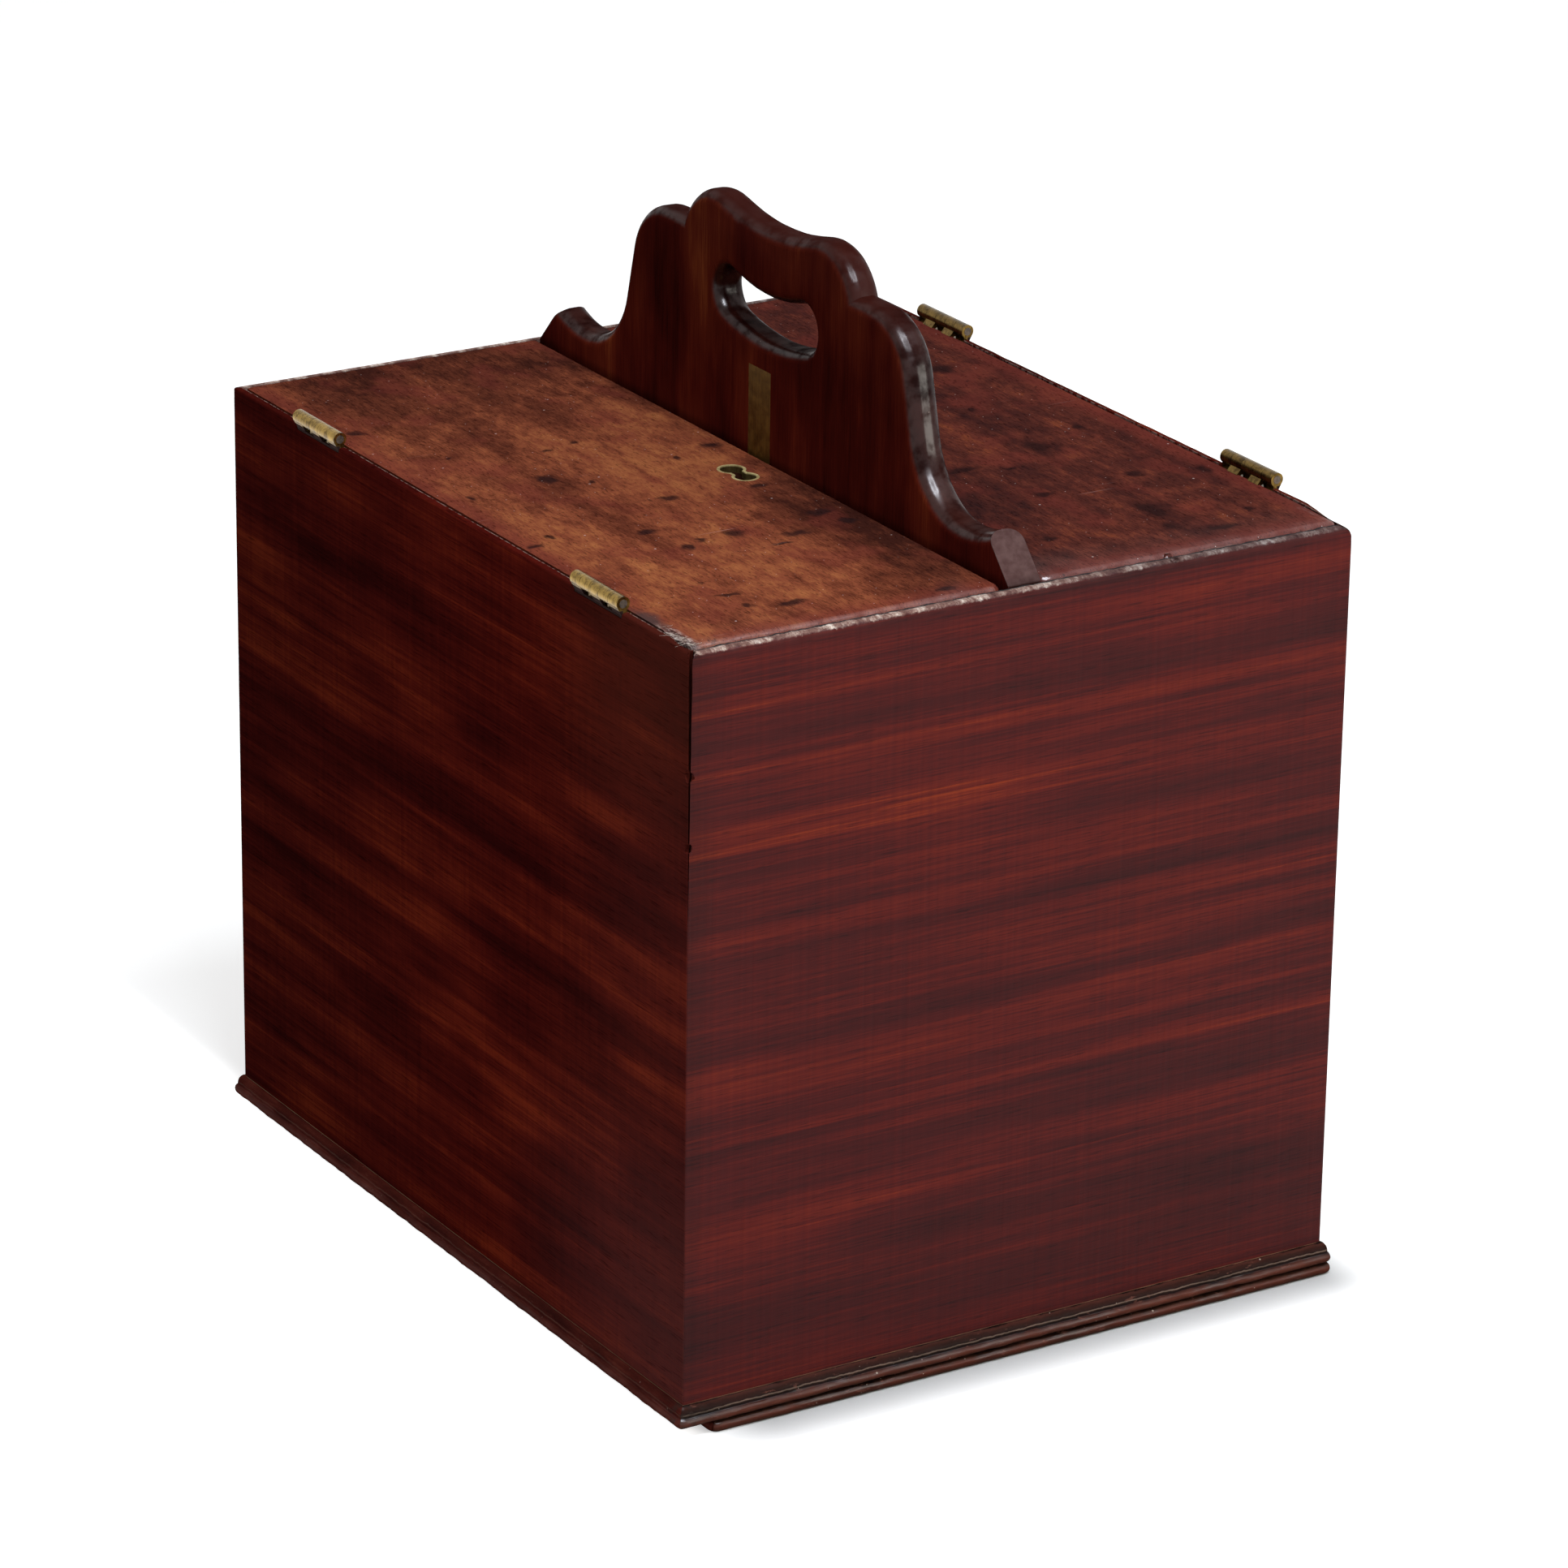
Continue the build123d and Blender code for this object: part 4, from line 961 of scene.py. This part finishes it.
def build_mouldings(finish_x, finish_y):
    """The base strips, dented along their whole length and rounded at the corners."""
    for part in ("base_moulding_", "plinth_"):
        (left, front, _), (right, _, _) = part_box(part + "front")
        reach = (left, right, front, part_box(part + "back")[1][1])
        for side in ("front", "back", "left", "right"):
            along = "X" if side in ("front", "back") else "Y"
            low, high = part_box(part + side)
            number = "XYZ".index(along)
            piece = copy_of(part + side, "worn_" + part + side)
            ends = [low[number] + run * mm for run in (1, 2, 3, 4.2)]
            ends += [high[number] - run * mm for run in (1, 2, 3, 4.2)]
            run = steps(low[number] + 6 * mm, high[number] - 6 * mm, 2.4 * mm)
            cut_across(piece, along, ends + run)
            wear(piece, 0.8 * mm, 6 * mm, moulding_wear)
            round_corners(piece, reach, 4.5 * mm)
            finish = finish_x if along == "X" else finish_y
            settle(piece, "case", finish, part + side, 40)


def build_splinters(finish):
    """Curled fibres torn up along the near edge of the left lid."""
    chance = Random(11)
    strands = bpy.data.curves.new("torn_fibres", "CURVE")
    strands.dimensions = "3D"
    strands.bevel_depth = 0.09 * mm
    strands.bevel_resolution = 1
    strands.use_fill_caps = True
    for _ in range(34):
        along = chance.random() ** 0.6
        place = Vector((lid_outer + chance.uniform(-0.2, 2.6) * mm, lid_front + (1 + 27 * (1 - along)) * mm,
                        lid_top - 0.15 * mm))
        heading = chance.uniform(-2.6, -0.5)
        bend = chance.uniform(-0.55, 0.55)
        lift = chance.uniform(0.02, 0.16)
        count = chance.randint(6, 13)
        strand = strands.splines.new("POLY")
        strand.points.add(count - 1)
        for number, point in enumerate(strand.points):
            point.co = (*place, 1)
            point.radius = 1 - 0.75 * number / count
            heading += bend + chance.uniform(-0.3, 0.3)
            lift -= 0.022
            place = place + Vector((0.55 * cos(heading), 0.55 * sin(heading), lift)) * mm
    piece = bpy.data.objects.new("torn_fibres", strands)
    bpy.context.scene.collection.objects.link(piece)
    pick(piece)
    bpy.ops.object.convert(target="MESH")
    piece = bpy.context.object
    pick(piece)
    bpy.ops.object.shade_smooth_by_angle(angle=radians(60))
    dress(piece, finish)
    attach(piece, "lid_left")


def torn_fibre():
    wood = Finish("torn_fibre", specular_ior_level=0.1)
    stain = wood.noise(300, detail=4, rough=0.6)
    wood.colour = wood.ramp(stain, [
        (0.35, (0.22, 0.145, 0.115)), (0.5, (0.48, 0.38, 0.32)), (0.65, (0.68, 0.62, 0.56)),
    ])
    return wood.done(0.7, wood.bump(wood.noise(2500), 0.03 * mm))


# Studio: a white floor with a painted shadow in front of the case and painted light to its left, a white
# surround and soft lamps
def floor_and_world():
    bpy.ops.mesh.primitive_plane_add(size=12, location=(0, 0, 0))
    floor = bpy.context.object
    floor.name = "studio_floor"
    finish = Finish("studio_floor_white")
    x, y, _ = finish.axes()
    # Painted shadow: in a band just in front of the case, the floor's glow is lowered and its paper darkened.
    at_front = finish.product(finish.fade(y, case_front - 36 * mm, case_front - 4 * mm),
                              finish.fade(y, case_front + 150 * mm, case_front + 60 * mm))
    at_front = finish.product(at_front, finish.fade(x, case_left - 4 * mm, case_left + 40 * mm))
    at_front = finish.product(at_front, finish.fade(x, case_right + 30 * mm, case_right - 5 * mm))
    # Painted light: to the left of the case the floor glows more, so that no shade shows there.
    painted_light_left = finish.fade(x, case_left + 18 * mm, case_left - 6 * mm)
    level = finish.total(finish.times(at_front, -0.55, 0.55), finish.times(painted_light_left, 0.52))
    paper = finish.fill(finish.node("BsdfDiffuse"), finish.mix(at_front, (0.8, 0.8, 0.8), (0.55, 0.55, 0.55)))
    glow = finish.node("Emission")
    finish.feed(glow.inputs["Strength"], finish.product(finish.seen(), level))
    both = finish.fill(finish.node("AddShader"), paper.outputs[0], glow.outputs[0])
    finish.feed(finish.tree.nodes["Material Output"].inputs["Surface"], both.outputs[0])
    dress(floor, finish)

    world = bpy.data.worlds.new("white_surround")
    bpy.context.scene.world = world
    world.use_nodes = True
    sky = Nodes(world.node_tree)
    surround = sky.tree.nodes["Background"]
    surround.inputs["Color"].default_value = (1, 1, 1, 1)
    sky.feed(surround.inputs["Strength"], sky.times(sky.seen(), 0.55, 0.45))


def lamp(name, place, aim, size, power, colour):
    bpy.ops.object.light_add(type="AREA", location=place)
    light = bpy.context.object
    light.name = name
    light.data.shape = "RECTANGLE"
    light.data.size, light.data.size_y = size
    light.data.energy = power
    light.data.color = colour
    light.rotation_euler = (Vector(aim) - Vector(place)).to_track_quat("-Z", "Y").to_euler()
    return light


front_finish = front_mahogany()
side_finish = side_mahogany()
handle_finish = handle_mahogany()
left_lid_finish = lid_mahogany("bleached_left_lid", left_lid_marks, [
    (0.02, (0.042, 0.0115, 0.008)), (0.34, (0.12, 0.031, 0.0165)), (0.56, (0.215, 0.059, 0.027)),
    (0.84, (0.32, 0.108, 0.04)),
], 0.34, 1)
right_lid_finish = lid_mahogany("red_right_lid", right_lid_marks, [
    (0.1, (0.022, 0.009, 0.0095)), (0.4, (0.055, 0.0155, 0.0125)), (0.64, (0.104, 0.026, 0.0175)),
    (0.92, (0.22, 0.056, 0.023)),
], 0.24, 0.12)
base_finish_x = base_mahogany("base_mahogany_front", "X", 1)
base_finish_y = base_mahogany("base_mahogany_side", "Y", 0.25)
build_case_wood(front_finish, side_finish, handle_finish)
build_lids(left_lid_finish, right_lid_finish)
build_mouldings(base_finish_x, base_finish_y)
build_splinters(torn_fibre())

# The other pieces keep their CAD shape: each finish goes on the nodes whose names start so
carried_over = (
    (front_finish, "back_board"),
    (bare_wood("bare_partition_wood", "Z"), "bottle_partition"),
    (bare_wood("bare_bottom_wood", "Y"), "bottom_board"),
    (brass("hinge_brass", (0.085, 0.048, 0.01), (0.34, 0.215, 0.052), 0.28, lid_top + 0.6 * mm),
     "hinge_case_leaf", "hinge_lid_leaf"),
    (brass("keep_plate_brass", (0.072, 0.037, 0.006), (0.135, 0.073, 0.014), 0.42), "keep_"),
    (brass("keyhole_brass", (0.22, 0.165, 0.062), (0.58, 0.48, 0.23), 0.4,
           walls_below=lid_top - 0.6 * mm, metallic=0.3), "keyhole_escutcheon"),
    (brass("lock_brass", (0.12, 0.09, 0.035), (0.4, 0.31, 0.14), 0.38), "lock_case", "lock_bolt"),
    (dark_steel(), "hinge_pin", "hinge_case_screws", "hinge_lid_screws", "lock_screws"),
)
for finish, *starts in carried_over:
    for node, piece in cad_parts.items():
        if node.startswith(tuple(starts)):
            dress(piece, finish)

place_camera()
floor_and_world()
above = (-0.12, -0.88, 2.05)
middle = (0, 0, 0.3)
lamp("overhead_softbox", above, middle, (0.9, 0.6), 30, (0.9, 0.95, 1)).visible_glossy = False
lamp("front_softbox", (0.95, -1.65, 0.72), (0, 0, 0.25), (0.5, 0.8), 11, (1, 0.97, 0.88))
lamp("highlight_panel", above, middle, (1.2, 0.8), 210, (0.88, 0.92, 1)).visible_diffuse = False

bpy.context.scene.view_settings.view_transform = "Standard"
